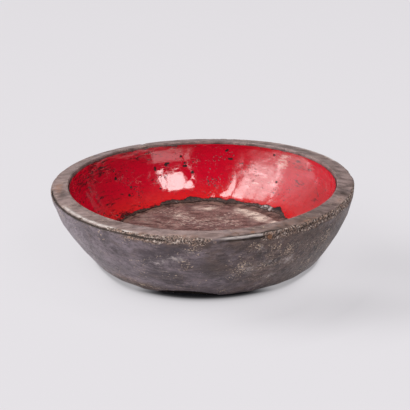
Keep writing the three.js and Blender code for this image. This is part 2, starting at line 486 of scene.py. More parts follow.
class Graph:
    """A short way to write a node tree: nodes are added with their inputs."""

    def __init__(self, tree: bpy.types.NodeTree) -> None:
        """Empties a tree to fill it again."""
        self.tree = tree
        tree.nodes.clear()

    def add(self, kind: str, inputs: dict | None = None, **settings: object) -> bpy.types.Node:
        """Adds a node.

        Args:
            kind: The node's type without its ShaderNode prefix.
            inputs: Values or output sockets by input name or number.
            settings: Properties of the node itself.

        Returns:
            The new node.
        """
        node = self.tree.nodes.new("ShaderNode" + kind)
        for key, value in settings.items():
            setattr(node, key, value)
        for key, value in (inputs or {}).items():
            if isinstance(value, bpy.types.NodeSocket):
                self.tree.links.new(value, node.inputs[key])
            else:
                node.inputs[key].default_value = value
        return node

    def math(self, operation: str, *values: Value) -> Socket:
        """Adds a Math node and gives its result."""
        return self.add("Math", dict(enumerate(values)), operation=operation).outputs[0]

    def times(self, *values: Value) -> Value:
        """Multiplies values."""
        return reduce(partial(self.math, "MULTIPLY"), values)

    def plus(self, base: Value, value: Value, factor: Value = 1.0) -> Socket:
        """Adds a value times a factor to a base."""
        return self.math("MULTIPLY_ADD", value, factor, base)

    def ramp(self, value: Value, low: Value, high: Value) -> Socket:
        """Maps a value smoothly to 0 at low and 1 at high."""
        inputs = {"Value": value, "From Min": low, "From Max": high}
        return self.add("MapRange", inputs, interpolation_type="SMOOTHSTEP").outputs["Result"]

    def mix(self, share: Value, first: Paint, second: Paint) -> Socket:
        """Mixes two colours by the share of the second."""
        inputs = {0: share, 6: rgba(first), 7: rgba(second)}
        return self.add("Mix", inputs, data_type="RGBA").outputs[2]

    def over(self, base: Paint, *layers: tuple) -> Paint:
        """Lays colours over a base, one after the other.

        Args:
            base: The colour below.
            layers: For each one its colour, and its share as one or more factors.

        Returns:
            The mixed colour.
        """
        for colour, *shares in layers:
            base = self.mix(self.times(*shares), base, colour)
        return base

    def noise(self, vector: Socket, scale: Value, detail: float, rough: float = 0.5) -> Socket:
        """Adds noise at a scale, with finer layers and their strength."""
        inputs = {"Vector": vector, "Scale": scale, "Detail": detail, "Roughness": rough}
        return self.add("TexNoise", inputs).outputs["Fac"]

    def cloud(
        self, squeeze: Squeeze, size: float, detail: float = 4.0, rough: float = 0.5
    ) -> Socket:
        """Adds noise in the object's own millimetres.

        Args:
            squeeze: Scale of X, Y and Z, where less than 1 draws the lumps out.
            size: About how far apart two lumps are in millimetres.
            detail: How many finer layers are added.
            rough: How strong the finer layers are.

        Returns:
            The noise's value.
        """
        return self.noise(self.place(squeeze), 1 / size, detail, rough)

    def effect(
        self, tree: bpy.types.NodeTree, squeeze: Squeeze, size: float, **inputs: Value
    ) -> tuple[Socket, ...]:
        """Places a shared node group in the object's own millimetres.

        Args:
            tree: The node group.
            squeeze: Scale of X, Y and Z, where less than 1 draws the effect out.
            size: The group's size in millimetres.
            inputs: Values or output sockets for the group's other inputs, by name.

        Returns:
            The group's outputs.
        """
        inputs = {"Vector": self.place(squeeze), "Size": size, **inputs}
        return tuple(self.add("Group", inputs, node_tree=tree).outputs)

    def place(self, squeeze: Squeeze) -> Socket:
        """Gives the object's own coordinates in millimetres, scaled by a squeeze."""
        inputs = {"Vector": self.add("TexCoord").outputs["Object"], "Scale": Vector(squeeze) / METRES}
        return self.add("Mapping", inputs).outputs[0]

    def mask(self, name: str) -> Socket:
        """Reads one of the mesh's own masks."""
        return self.add("Attribute", attribute_name=name).outputs["Fac"]


def rgba(colour: Paint) -> tuple[float, ...] | Socket:
    """Adds an alpha of 1 to a plain colour, and leaves a socket as it is."""
    return (*colour, 1.0) if isinstance(colour, tuple) else colour


class Effects:
    """Node groups that more than one finish uses, each built once."""

    def __init__(self) -> None:
        """Builds the groups."""
        mask = ("Mask",)
        streaks = {"Size": 6.0, "Contrast": 1.0}
        spots = {"Size": 2.0, "Amount": 0.1, "Clumping": 0.5}
        lines = {"Size": 9.0, "Width": 0.02, "Amount": 0.5}
        self.grain = self._group("wood_grain", streaks, ("Tone", "Height"), self._grain)
        self.flecks = self._group("flecks", spots, mask, self._flecks)
        self.haze = self._group("haze", {"Size": 40.0, "Amount": 0.5}, mask, self._haze)
        self.cracks = self._group("cracks", lines, mask, self._cracks)

    @staticmethod
    def _group(
        name: str, inputs: dict[str, float], outputs: tuple[str, ...], wire: Callable
    ) -> bpy.types.NodeTree:
        """Makes a group with named sockets.

        Args:
            name: The group's name.
            inputs: Default values of its number inputs by name. It also has a vector.
            outputs: Names of its number outputs.
            wire: Adds the nodes between the group's inputs and outputs.

        Returns:
            The group.
        """
        tree = bpy.data.node_groups.new(name, "ShaderNodeTree")
        graph = Graph(tree)
        tree.interface.new_socket("Vector", in_out="INPUT", socket_type="NodeSocketVector")
        for key, default in inputs.items():
            socket = tree.interface.new_socket(key, in_out="INPUT", socket_type="NodeSocketFloat")
            socket.default_value = default
        for key in outputs:
            tree.interface.new_socket(key, in_out="OUTPUT", socket_type="NodeSocketFloat")
        start = tree.nodes.new("NodeGroupInput")
        end = tree.nodes.new("NodeGroupOutput")
        given = {key: start.outputs[key] for key in ("Vector", *inputs)}
        given["Scale"] = graph.math("DIVIDE", 1.0, given["Size"])
        for key, value in zip(outputs, wire(graph, given)):
            tree.links.new(value, end.inputs[key])
        return tree

    @staticmethod
    def _grain(graph: Graph, given: dict[str, Socket]) -> tuple[Socket, ...]:
        """Gives the tone and the height of coarse and fine streaks of wood grain.

        Args:
            graph: The group's graph.
            given: The group's inputs by name, and its scale.

        Returns:
            The group's outputs.
        """
        broad = graph.noise(given["Vector"], given["Scale"], 3.0)
        fine = graph.noise(given["Vector"], graph.times(given["Scale"], 4.5), 5.0)
        mixed = graph.plus(graph.times(fine, 0.45), broad, 0.55)
        centred = graph.math("SUBTRACT", mixed, 0.5)
        return graph.plus(0.5, centred, graph.times(given["Contrast"], 3.0)), fine

    @staticmethod
    def _flecks(graph: Graph, given: dict[str, Socket]) -> tuple[Socket, ...]:
        """Gives small scattered spots of uneven outline.

        Args:
            graph: The group's graph.
            given: The group's inputs by name, and its scale.

        Returns:
            The group's outputs.
        """
        spots = graph.noise(given["Vector"], given["Scale"], 4.0)
        clumps = graph.noise(given["Vector"], graph.times(given["Scale"], 0.09), 2.0)
        push = graph.math("SUBTRACT", clumps, 0.5)
        height = graph.plus(spots, push, given["Clumping"])
        return (graph.ramp(graph.plus(height, given["Amount"], 0.4), 0.78, 0.83),)

    @staticmethod
    def _haze(graph: Graph, given: dict[str, Socket]) -> tuple[Socket, ...]:
        """Gives broad soft patches, such as rubbed or dusty places."""
        cloud = graph.noise(given["Vector"], given["Scale"], 7.0, 0.66)
        return (graph.ramp(graph.plus(cloud, given["Amount"], 0.5), 0.75, 1.0),)

    @staticmethod
    def _cracks(graph: Graph, given: dict[str, Socket]) -> tuple[Socket, ...]:
        """Gives fine broken lines, where a cloud of noise crosses its middle value.

        Args:
            graph: The group's graph.
            given: The group's inputs by name, and its scale.

        Returns:
            The group's outputs.
        """
        cloud = graph.noise(given["Vector"], given["Scale"], 3.0)
        off = graph.math("ABSOLUTE", graph.math("SUBTRACT", cloud, 0.5))
        gaps = graph.noise(given["Vector"], graph.times(given["Scale"], 0.6), 2.0)
        kept = graph.ramp(graph.plus(gaps, given["Amount"], 0.3), 0.7, 0.76)
        return (graph.times(graph.ramp(off, given["Width"], 0.0), kept),)


class Finish:
    """A surface finish that makes one material."""

    name = "finish"

    def paint(self, graph: Graph, effects: Effects) -> Look:
        """Adds the nodes of the finish.

        Args:
            graph: The material's graph.
            effects: The node groups that the finishes share.

        Returns:
            The shader's inputs, and height sockets with their size in millimetres.
        """
        raise NotImplementedError

    def material(self, effects: Effects) -> bpy.types.Material:
        """Makes the material, with its heights stacked as bumps.

        Args:
            effects: The node groups that the finishes share.

        Returns:
            The new material.
        """
        material = bpy.data.materials.new(self.name)
        material.use_nodes = True
        graph = Graph(material.node_tree)
        inputs, heights = self.paint(graph, effects)
        below = {}
        for height, size in heights:
            bump = {"Height": height, "Strength": 1.0, "Distance": size * METRES, **below}
            below = {"Normal": graph.add("Bump", bump).outputs[0]}
        shader = graph.add("BsdfPrincipled", {**inputs, **below})
        graph.add("OutputMaterial", {"Surface": shader.outputs[0]})
        return material


@dataclass(frozen=True)
class StainedWood(Finish):
    """Dark stained wood of the outside and the rim, with a pale crust on the lip, a painted sheen on
    the left, painted highlights on the beads and painted shade in the grooves.
    """

    dark: Colour = (0.036, 0.027, 0.03)
    shade: Colour = (0.074, 0.056, 0.063)
    middle: Colour = (0.172, 0.134, 0.149)
    # Pale violet tone for the dusty haze, and for the painted sheen on the left wall.
    lavender_haze_and_sheen: Colour = (0.265, 0.223, 0.25)
    brown: Colour = (0.118, 0.075, 0.06)
    dust: Colour = (0.36, 0.3, 0.285)
    smudge: Colour = (0.42, 0.365, 0.345)
    tan: Colour = (0.5, 0.375, 0.275)
    rim_dark: Colour = (0.1, 0.066, 0.06)
    rim_pale: Colour = (0.32, 0.235, 0.22)
    rim_grey: Colour = (0.2, 0.168, 0.182)
    # Pale bead colour: worn wood, lightened further as a painted highlight.
    bead: Colour = (0.6, 0.54, 0.51)
    crust_pale: Colour = (0.6, 0.5, 0.44)
    crust_orange: Colour = (0.42, 0.27, 0.2)
    crust_middle: Colour = (0.2, 0.14, 0.12)
    # Near black for the crust, pits, stains and cracks, and for the painted shade in the lip's
    # grooves.
    crust_dark_and_groove_shade: Colour = (0.03, 0.022, 0.018)
    rust: Colour = (0.31, 0.15, 0.085)
    rough: float = 0.36
    name: str = "stained_wood"

    def _wall(self, graph: Graph, effects: Effects, fibre: Socket) -> Socket:
        """Colours the outer wall, from its darker and lighter mottling and its painted sheen to its
        stains and smudges.

        Args:
            graph: The material's graph.
            effects: The node groups that the finishes share.
            fibre: The tone of the fine grain.

        Returns:
            The wall's colour.
        """
        mottle = graph.ramp(graph.cloud((0.6, 1, 1), 24, 8, 0.68), 0.38, 0.62)
        hazy = graph.effect(effects.haze, (0.5, 1, 1), 34, Amount=0.5)[0]
        warm = graph.plus(graph.mask("warm"), graph.cloud((0.6, 1, 1), 15, 6, 0.65), 1.6)
        worn = graph.mask("wear")
        fine = graph.cloud((0.35, 1, 1), 5, 8, 0.7)
        broad = graph.cloud((0.35, 1, 1), 13, 7, 0.7)
        deep = graph.plus(0.35, worn, 0.5)
        smudged = graph.plus(graph.cloud((0.7, 1, 1), 4, 8, 0.8), graph.mask("smudge"), 0.24)
        return graph.over(
            graph.mix(mottle, self.shade, self.middle),
            (self.lavender_haze_and_sheen, hazy, 0.36),
            # Painted sheen: the pale marks make the left wall lighter.
            (self.lavender_haze_and_sheen, graph.mask("pale"), 0.6),
            (self.brown, graph.ramp(warm, 0.8, 1.35), 0.85),
            (self.dark, graph.ramp(fine, 0.5, 0.64), deep),
            (self.dust, graph.ramp(fine, 0.46, 0.3), graph.plus(0.18, worn, 0.4)),
            (self.dark, graph.ramp(broad, 0.49, 0.62), deep),
            (self.dark, graph.ramp(fibre, 0.55, 1.1), 0.42),
            (self.smudge, graph.ramp(smudged, 0.6, 0.85), 0.85),
        )

    def _rim(self, graph: Graph, effects: Effects, fibre: Socket) -> Socket:
        """Colours the top of the rim.

        Args:
            graph: The material's graph.
            effects: The node groups that the finishes share.
            fibre: The tone of the fine grain.

        Returns:
            The rim's colour.
        """
        soft = graph.ramp(graph.cloud((0.5, 1, 1), 9, 6, 0.6), 0.35, 0.65)
        tone = graph.plus(graph.times(fibre, 0.35), soft, 0.65)
        greyed = graph.effect(effects.haze, (0.5, 1, 1), 15, Amount=0.42)[0]
        veins = graph.ramp(graph.cloud((0.16, 1, 1), 3.4, 6, 0.6), 0.55, 0.68)
        return graph.over(
            graph.mix(tone, self.rim_dark, self.rim_pale),
            (self.rim_grey, greyed, 0.85),
            # Painted sheen on the rim's front, from the pale marks.
            (self.rim_pale, graph.mask("pale"), 0.42),
            (self.rim_dark, veins, 0.45),
        )

    def _crust(self, graph: Graph, coarse: Socket) -> tuple[Socket, Socket, Socket]:
        """Colours the torn crust on the lip.

        Args:
            graph: The material's graph.
            coarse: Noise that breaks up its edge.

        Returns:
            The crust's colour, its share and the height of its grains.
        """
        lumps = graph.plus(graph.mask("crust"), graph.cloud((0.6, 0.8, 1), 8), 1.5)
        torn = graph.ramp(graph.plus(lumps, coarse, 1.1), 1.6, 1.95)
        grains = graph.cloud((1, 0.6, 0.8), 1.8, 4, 0.6)
        high = graph.ramp(grains, 0.49, 0.61)
        tint = graph.ramp(graph.cloud((0.7, 1, 1), 5), 0.42, 0.58)
        pale = graph.mix(tint, self.crust_orange, self.crust_pale)
        low = graph.mix(graph.ramp(grains, 0.38, 0.5), self.crust_dark_and_groove_shade, self.crust_middle)
        return graph.mix(high, low, pale), torn, graph.times(high, torn)

    def paint(self, graph: Graph, effects: Effects) -> Look:
        """Colours the wall and the rim, and lays specks, stains, cracks, crust, a painted highlight on
        the beads and painted shade in the grooves over both.

        Args:
            graph: The material's graph.
            effects: The node groups that the finishes share.

        Returns:
            The shader's inputs, and height sockets with their size in millimetres.
        """
        _, grain = graph.effect(effects.grain, (0.22, 1, 1), 6.5, Contrast=1.8)
        tone, fibre = graph.effect(effects.grain, (0.2, 1, 1), 2.6, Contrast=2.2)
        wall = self._wall(graph, effects, tone)
        worn = graph.plus(0.24, graph.mask("wear"), 0.2)
        pits = graph.effect(effects.flecks, (0.5, 1.1, 1.1), 2.2, Amount=worn, Clumping=0.4)[0]
        specks = graph.effect(effects.flecks, (0.8, 1, 1), 1.9, Amount=worn, Clumping=0.6)[0]
        lines = graph.effect(effects.cracks, (0.3, 1, 1), 7, Width=0.012)[0]
        checks = graph.effect(effects.cracks, (0.1, 1, 1), 20, Width=0.014, Amount=0.62)[0]
        frayed = graph.ramp(graph.cloud((0.25, 1, 1), 3), 0.3, 0.55)
        coarse = graph.cloud((0.8, 1, 1), 3.4)
        groove = graph.mask("groove")
        crust, torn, high = self._crust(graph, coarse)
        base = graph.over(
            graph.mix(graph.mask("rim"), wall, self._rim(graph, effects, tone)),
            (self.crust_dark_and_groove_shade, pits, 0.75),
            (self.tan, specks, 0.8),
            (self.rust, graph.mask("rust"), graph.ramp(coarse, 0.35, 0.6), 0.85),
            (self.crust_dark_and_groove_shade, graph.mask("stain"), 0.7),
            (self.crust_dark_and_groove_shade, lines, 0.75),
            (self.crust_dark_and_groove_shade, checks, 0.6),
            # Beads: pale wear with a painted highlight.
            (self.bead, graph.mask("bead"), frayed, 0.9),
            (crust, torn, 0.95),
            # Painted shade in the lip's grooves.
            (self.crust_dark_and_groove_shade, groove, 0.95),
        )
        rough = graph.plus(graph.plus(graph.plus(self.rough, tone, 0.14), torn, 0.35), groove, 0.6)
        uncracked = graph.math("SUBTRACT", 1.0, lines)
        inputs = {"Base Color": base, "Roughness": rough, "IOR": 1.5, "Specular IOR Level": 0.28}
        return inputs, [(grain, 0.2), (fibre, 0.2), (uncracked, 0.25), (high, 0.8)]


@dataclass(frozen=True)
class HeelShadeWood(Finish):
    """Rough wood of the chopped heel, painted near black as the shade under the lifted heel."""

    # Painted shade: near black, a little lighter along the grain.
    colour: Colour = (0.012, 0.01, 0.011)
    pale: Colour = (0.03, 0.024, 0.022)
    name: str = "charred_wood"

    def paint(self, graph: Graph, effects: Effects) -> Look:
        """Colours the heel's painted shade along the grain.

        Args:
            graph: The material's graph.
            effects: The node groups that the finishes share.

        Returns:
            The shader's inputs, and height sockets with their size in millimetres.
        """
        tone, height = graph.effect(effects.grain, (0.3, 1, 1), 4, Contrast=1.2)
        base = graph.mix(tone, self.colour, self.pale)
        return {"Base Color": base, "Roughness": 0.9, "Specular IOR Level": 0.0}, [(height, 0.4)]


@dataclass(frozen=True)
class BareWood(Finish):
    """Bare worn wood of the floor, with pale scrapes, and the cove round it, darker and redder, with
    red light from the lacquer painted in.
    """

    dark: Colour = (0.062, 0.034, 0.031)
    middle: Colour = (0.27, 0.165, 0.145)
    grey: Colour = (0.17, 0.115, 0.118)
    pale: Colour = (0.56, 0.45, 0.385)
    bleached: Colour = (0.68, 0.58, 0.49)
    # The cove is darker, and tinted red as a painted reflection of the lacquer.
    cove: Colour = (0.04, 0.018, 0.016)
    cove_pale: Colour = (0.19, 0.105, 0.085)
    name: str = "bare_wood"

    def paint(self, graph: Graph, effects: Effects) -> Look:
        """Colours the floor, bleaches its patches, and darkens the cove with a painted red reflection.

        Args:
            graph: The material's graph.
            effects: The node groups that the finishes share.

        Returns:
            The shader's inputs, and height sockets with their size in millimetres.
        """
        tone, grain = graph.effect(effects.grain, (0.4, 0.8, 1), 5.5, Contrast=2.0)
        fine, fibre = graph.effect(effects.grain, (0.35, 0.8, 1), 2.2, Contrast=2.2)
        scrapes = graph.effect(effects.flecks, (0.6, 0.8, 1), 2.4, Amount=0.42, Clumping=0.6)[0]
        greyed = graph.effect(effects.haze, (0.8, 1, 1), 26, Amount=0.5)[0]
        broken = graph.ramp(graph.cloud((0.5, 1, 1), 5, 5), 0.38, 0.62)
        patch = graph.mask("patch")
        base = graph.over(
            graph.mix(tone, self.dark, self.middle),
            (self.grey, greyed, 0.8),
            (self.dark, fine, 0.6),
            (self.pale, patch, broken, 0.8),
            (self.bleached, graph.ramp(graph.times(patch, fine), 0.25, 0.7), 0.9),
            (self.pale, scrapes, 0.5),
            # Darker cove with painted red reflected light.
            (graph.mix(tone, self.cove, self.cove_pale), graph.mask("cove")),
        )
        inputs = {"Base Color": base, "Roughness": 0.48, "IOR": 1.5}
        return inputs, [(grain, 0.35), (fibre, 0.2), (scrapes, 0.1)]


@dataclass(frozen=True)
class BlackGround(Finish):
    """Half-matt black ground with brown ribs down the wall, rubbed pale in places."""

    colour: Colour = (0.012, 0.009, 0.01)
    brown: Colour = (0.09, 0.052, 0.042)
    pale: Colour = (0.42, 0.37, 0.36)
    rough: float = 0.5
    name: str = "black_ground"

    def paint(self, graph: Graph, effects: Effects) -> Look:
        """Lays brown ribs near the lower edge and rubs the scuffed places pale.

        Args:
            graph: The material's graph.
            effects: The node groups that the finishes share.

        Returns:
            The shader's inputs, and height sockets with their size in millimetres.
        """
        ribs, height = graph.effect(effects.grain, (1, 1, 0.25), 3.2, Contrast=1.6)
        low = graph.ramp(graph.mask("down"), 0.78, 0.84)
        worn = graph.plus(graph.cloud((0.6, 0.6, 1), 4, 6, 0.65), graph.mask("scuff"), 0.2)
        base = graph.over(
            self.colour,
            (self.brown, ribs, low),
            (self.pale, graph.ramp(worn, 0.6, 0.74), 0.85),
        )
        inputs = {"Base Color": base, "Roughness": self.rough, "Specular IOR Level": 0.25}
        return inputs, [(height, 0.25)]


@dataclass(frozen=True)
class RedLacquer(Finish):
    """Lacquer, brushed on in uneven strokes, with specks of dirt, scratches and small chips."""

    colour: Colour = (0.55, 0.001, 0.018)
    warm: Colour = (0.62, 0.019, 0.011)
    deep: Colour = (0.34, 0.0015, 0.014)
    faded: Colour = (0.38, 0.004, 0.004)
    speck: Colour = (0.014, 0.008, 0.009)
    scratch: Colour = (0.62, 0.3, 0.26)
    rough: float = 0.07
    shine: float = 0.9
    coat: float = 0.6
    speck_amount: float = 0.3
    name: str = "red_lacquer"

    def paint(self, graph: Graph, effects: Effects) -> Look:
        """Colours the strokes and lays the fading, grime, specks and scratches over them.

        Args:
            graph: The material's graph.
            effects: The node groups that the finishes share.

        Returns:
            The shader's inputs, and height sockets with their size in millimetres.
        """
        along = (0.3, 0.3, 1)
        down, soil = graph.mask("down"), graph.mask("soil")
        amount = graph.plus(self.speck_amount, soil, 0.07)
        specks = graph.effect(effects.flecks, (0.7, 0.7, 1), 2, Amount=amount, Clumping=0.5)[0]
        cloud = graph.effect(effects.haze, (0.7, 0.7, 1), 26, Amount=0.42)[0]
        scratches = graph.effect(effects.cracks, (0.5, 0.5, 1), 15, Width=0.006)[0]
        strokes, height = graph.effect(effects.grain, along, 2, Contrast=1.0)
        dull = graph.times(graph.mask("dull"), graph.ramp(graph.cloud(along, 8), 0.15, 0.5))
        dirt = graph.cloud((0.3, 0.3, 1.3), 3.6, 7, 0.68)
        ends = graph.plus(graph.ramp(down, 0.79, 0.89), graph.ramp(down, 0.06, 0.01), 0.5)
        grime = graph.plus(graph.plus(dirt, soil, 0.17), ends, 0.15)
        worn = graph.plus(dirt, graph.mask("scuff"), 0.25)
        base = graph.over(
            self.colour,
            (self.warm, graph.ramp(down, 0.45, 0.8), 0.6),
            (self.faded, dull, 0.75),
            (self.deep, graph.ramp(strokes, 0.45, 0.85), 0.4),
            (self.deep, cloud, 0.55),
            (self.speck, graph.ramp(grime, 0.59, 0.77), 0.9),
            (self.scratch, graph.ramp(worn, 0.7, 0.84), 0.8),
            (self.speck, specks, 0.9),
            (self.scratch, scratches, 0.5),
        )
        rough = graph.plus(graph.plus(self.rough, strokes, 0.05), specks, 0.1)
        clear = graph.math("SUBTRACT", 1.0, graph.math("MAXIMUM", dull, specks))
        heights = [
            (graph.cloud((0.7, 0.7, 1), 15, 2), 0.5),
            (graph.cloud((0.6, 0.6, 1), 6), 0.3),
            (height, 0.035),
            (graph.math("SUBTRACT", 1.0, specks), 0.12),
        ]
        inputs = {
            "Base Color": base,
            "Roughness": graph.plus(rough, dull, 0.26),
            "IOR": 1.5,
            "Coat Weight": graph.times(clear, self.coat),
            "Coat Roughness": 0.045,
            "Coat IOR": 1.7,
            "Specular IOR Level": self.shine,
        }
        return inputs, heights


@dataclass(frozen=True)
class KnotWood(Finish):
    """Reddish-brown end grain of the knot."""

    colour: Colour = (0.24, 0.105, 0.045)
    dark: Colour = (0.09, 0.038, 0.02)
    name: str = "knot_wood"

    def paint(self, graph: Graph, effects: Effects) -> Look:
        """Colours the end grain.

        Args:
            graph: The material's graph.
            effects: The node groups that the finishes share.

        Returns:
            The shader's inputs, and height sockets with their size in millimetres.
        """
        tone, height = graph.effect(effects.grain, (1, 1, 1), 1.6, Contrast=1.2)
        base = graph.mix(tone, self.dark, self.colour)
        return {"Base Color": base, "Roughness": 0.6}, [(height, 0.3)]


@dataclass
class BowlForm:
    """Sizes that the wood and both coats share, and the surfaces that follow from them."""

    height: float = (CAD_BOX[1].z - CAD_BOX[0].z) / METRES
    rim_fall: float = 2.8
    rim: Outline = Outline(190, (Wave(2, 7.2, 27), Wave(3, 2, 30)))
    mouth: Outline = Outline(168, (Wave(2, 4.9, 18), Wave(3, 2, 34)))
    foot: Outline = Outline(142.5, (Wave(2, 3.8, -11), Wave(3, 3, 15)))
    wall_swell: float = 9.5
    wall_swell_lift: float = 0.4
    foot_lean: tuple[float, float] = (2.3, 0.7)
    heel_height: float = 8
    heel_depth: float = 10
    chop_reach: float = 128
    chop_tilt: float = 34
    chop_turn: float = -98
    lip_round: float = 2
    inner_edge_round: float = 1.8
    floor_height: float = 23.6
    floor_radius: float = 111
    gutter_width: float = 8
    gutter_depth: float = 1.6
    hollow_plumb: float = 3.5
    hollow_plumb_share: float = 0.43
    hollow_cove: float = 20
    hollow_cove_rise: float = 3.6
    middle: tuple[float, float] = (0.32, -1.9)
    gouge: Strokes = Strokes(seed=5, wide=34, high=40, depth=0.55)
    gouge_fall: float = 95

    @property
    def edge_height(self) -> float:
        """Height of the outer edge of the rim."""
        return self.height - self.rim_fall

    def outer_wall(self, turn: Array, drop: Array) -> tuple[Array, Array]:
        """Gives the radius and height of the outer wall at a drop below its edge.

        Args:
            turn: Angle round the axis in radians.
            drop: Distance below the outer edge of the rim.

        Returns:
            Radius and height, before the foot leans.
        """
        share = drop / self.edge_height
        swell = self.wall_swell * scoop(share) * (1 - self.wall_swell_lift * (share - 0.5))
        radius = blend(self.rim.at(turn), self.foot.at(turn), share) + swell
        return radius, self.edge_height - drop + 0 * turn

    def inner_wall(self, turn: Array, share: Array) -> tuple[Array, Array, Array, Array]:
        """Gives the inner wall and the direction off it.

        Args:
            turn: Angle round the axis in radians.
            share: 0 at the inner edge of the rim and 1 at the bottom of the gutter.

        Returns:
            Radius, height, and the radius and height parts of the normal towards the axis.
        """
        top = (self.mouth.at(turn), self.height - self.inner_edge_round)
        low = (self.floor_radius + self.gutter_width / 2, self.floor_height - self.gutter_depth)
        upper = (top[0] - self.hollow_plumb, blend(top[1], low[1], self.hollow_plumb_share))
        lower = (low[0] + self.hollow_cove, low[1] + self.hollow_cove_rise)
        rest = 1 - share
        place = [
            top[i] * rest**3
            + 3 * upper[i] * rest**2 * share
            + 3 * lower[i] * rest * share**2
            + low[i] * share**3
            for i in range(2)
        ]
        along = [
            (upper[i] - top[i]) * rest**2
            + 2 * (lower[i] - upper[i]) * rest * share
            + (low[i] - lower[i]) * share**2
            for i in range(2)
        ]
        length = np.hypot(*along)
        return place[0], place[1], along[1] / length, -along[0] / length

    def gouge_depth(self, turn: Array, share: Array) -> Array:
        """Gives the depth of the gouge marks on the inner wall.

        Args:
            turn: Angle round the axis in radians.
            share: Share of the way down the inner wall.

        Returns:
            Depth in millimetres, 0 at both ends of the wall.
        """
        radius, fall = self.mouth.radius, self.gouge_fall
        depth = self.gouge.depth_at(turn * radius, share * fall, TAU * radius, fall)
        return depth * smooth(share, 0, 0.08) * (1 - smooth(share, 0.85, 0.98))

    def in_hollow(self, turn: Array, share: Array, offset: Array) -> Array:
        """Gives points on the inner wall, moved off the wood by an offset.

        Args:
            turn: Angle round the axis in radians.
            share: Share of the way down the inner wall.
            offset: Distance off the wood in millimetres.

        Returns:
            Points in the bowl's frame.
        """
        radius, height, out, up = self.inner_wall(turn, share)
        distance = offset - self.gouge_depth(turn, share)
        return self.placed(turn, radius + out * distance, height + up * distance, 0.0)

    def placed(self, turn: Array, radius: Array, height: Array, lean: float) -> Array:
        """Turns radius and height into points, leaning the low ones with the foot.

        Args:
            turn: Angle round the axis in radians.
            radius: Distance from the axis.
            height: Height above the ground.
            lean: 1 to lean with the foot, or 0 to stay upright.

        Returns:
            Points in the bowl's frame.
        """
        turn, radius, height = np.broadcast_arrays(turn, radius, height)
        sink = lean * (1 - height / self.edge_height)
        return np.stack(
            [
                radius * np.cos(turn) + self.foot_lean[0] * sink - self.middle[0],
                radius * np.sin(turn) + self.foot_lean[1] * sink - self.middle[1],
                height,
            ],
            axis=-1,
        )


@dataclass
class Piece:
    """A piece of the bowl, with the node that it replaces, its material slot and its finishes."""

    form: BowlForm
    node: str
    slot: str
    finishes: tuple[Finish, ...]

    def dress(self, piece: bpy.types.Object, effects: Effects) -> None:
        """Gives the piece its finishes."""
        for finish in self.finishes:
            piece.data.materials.append(finish.material(effects))


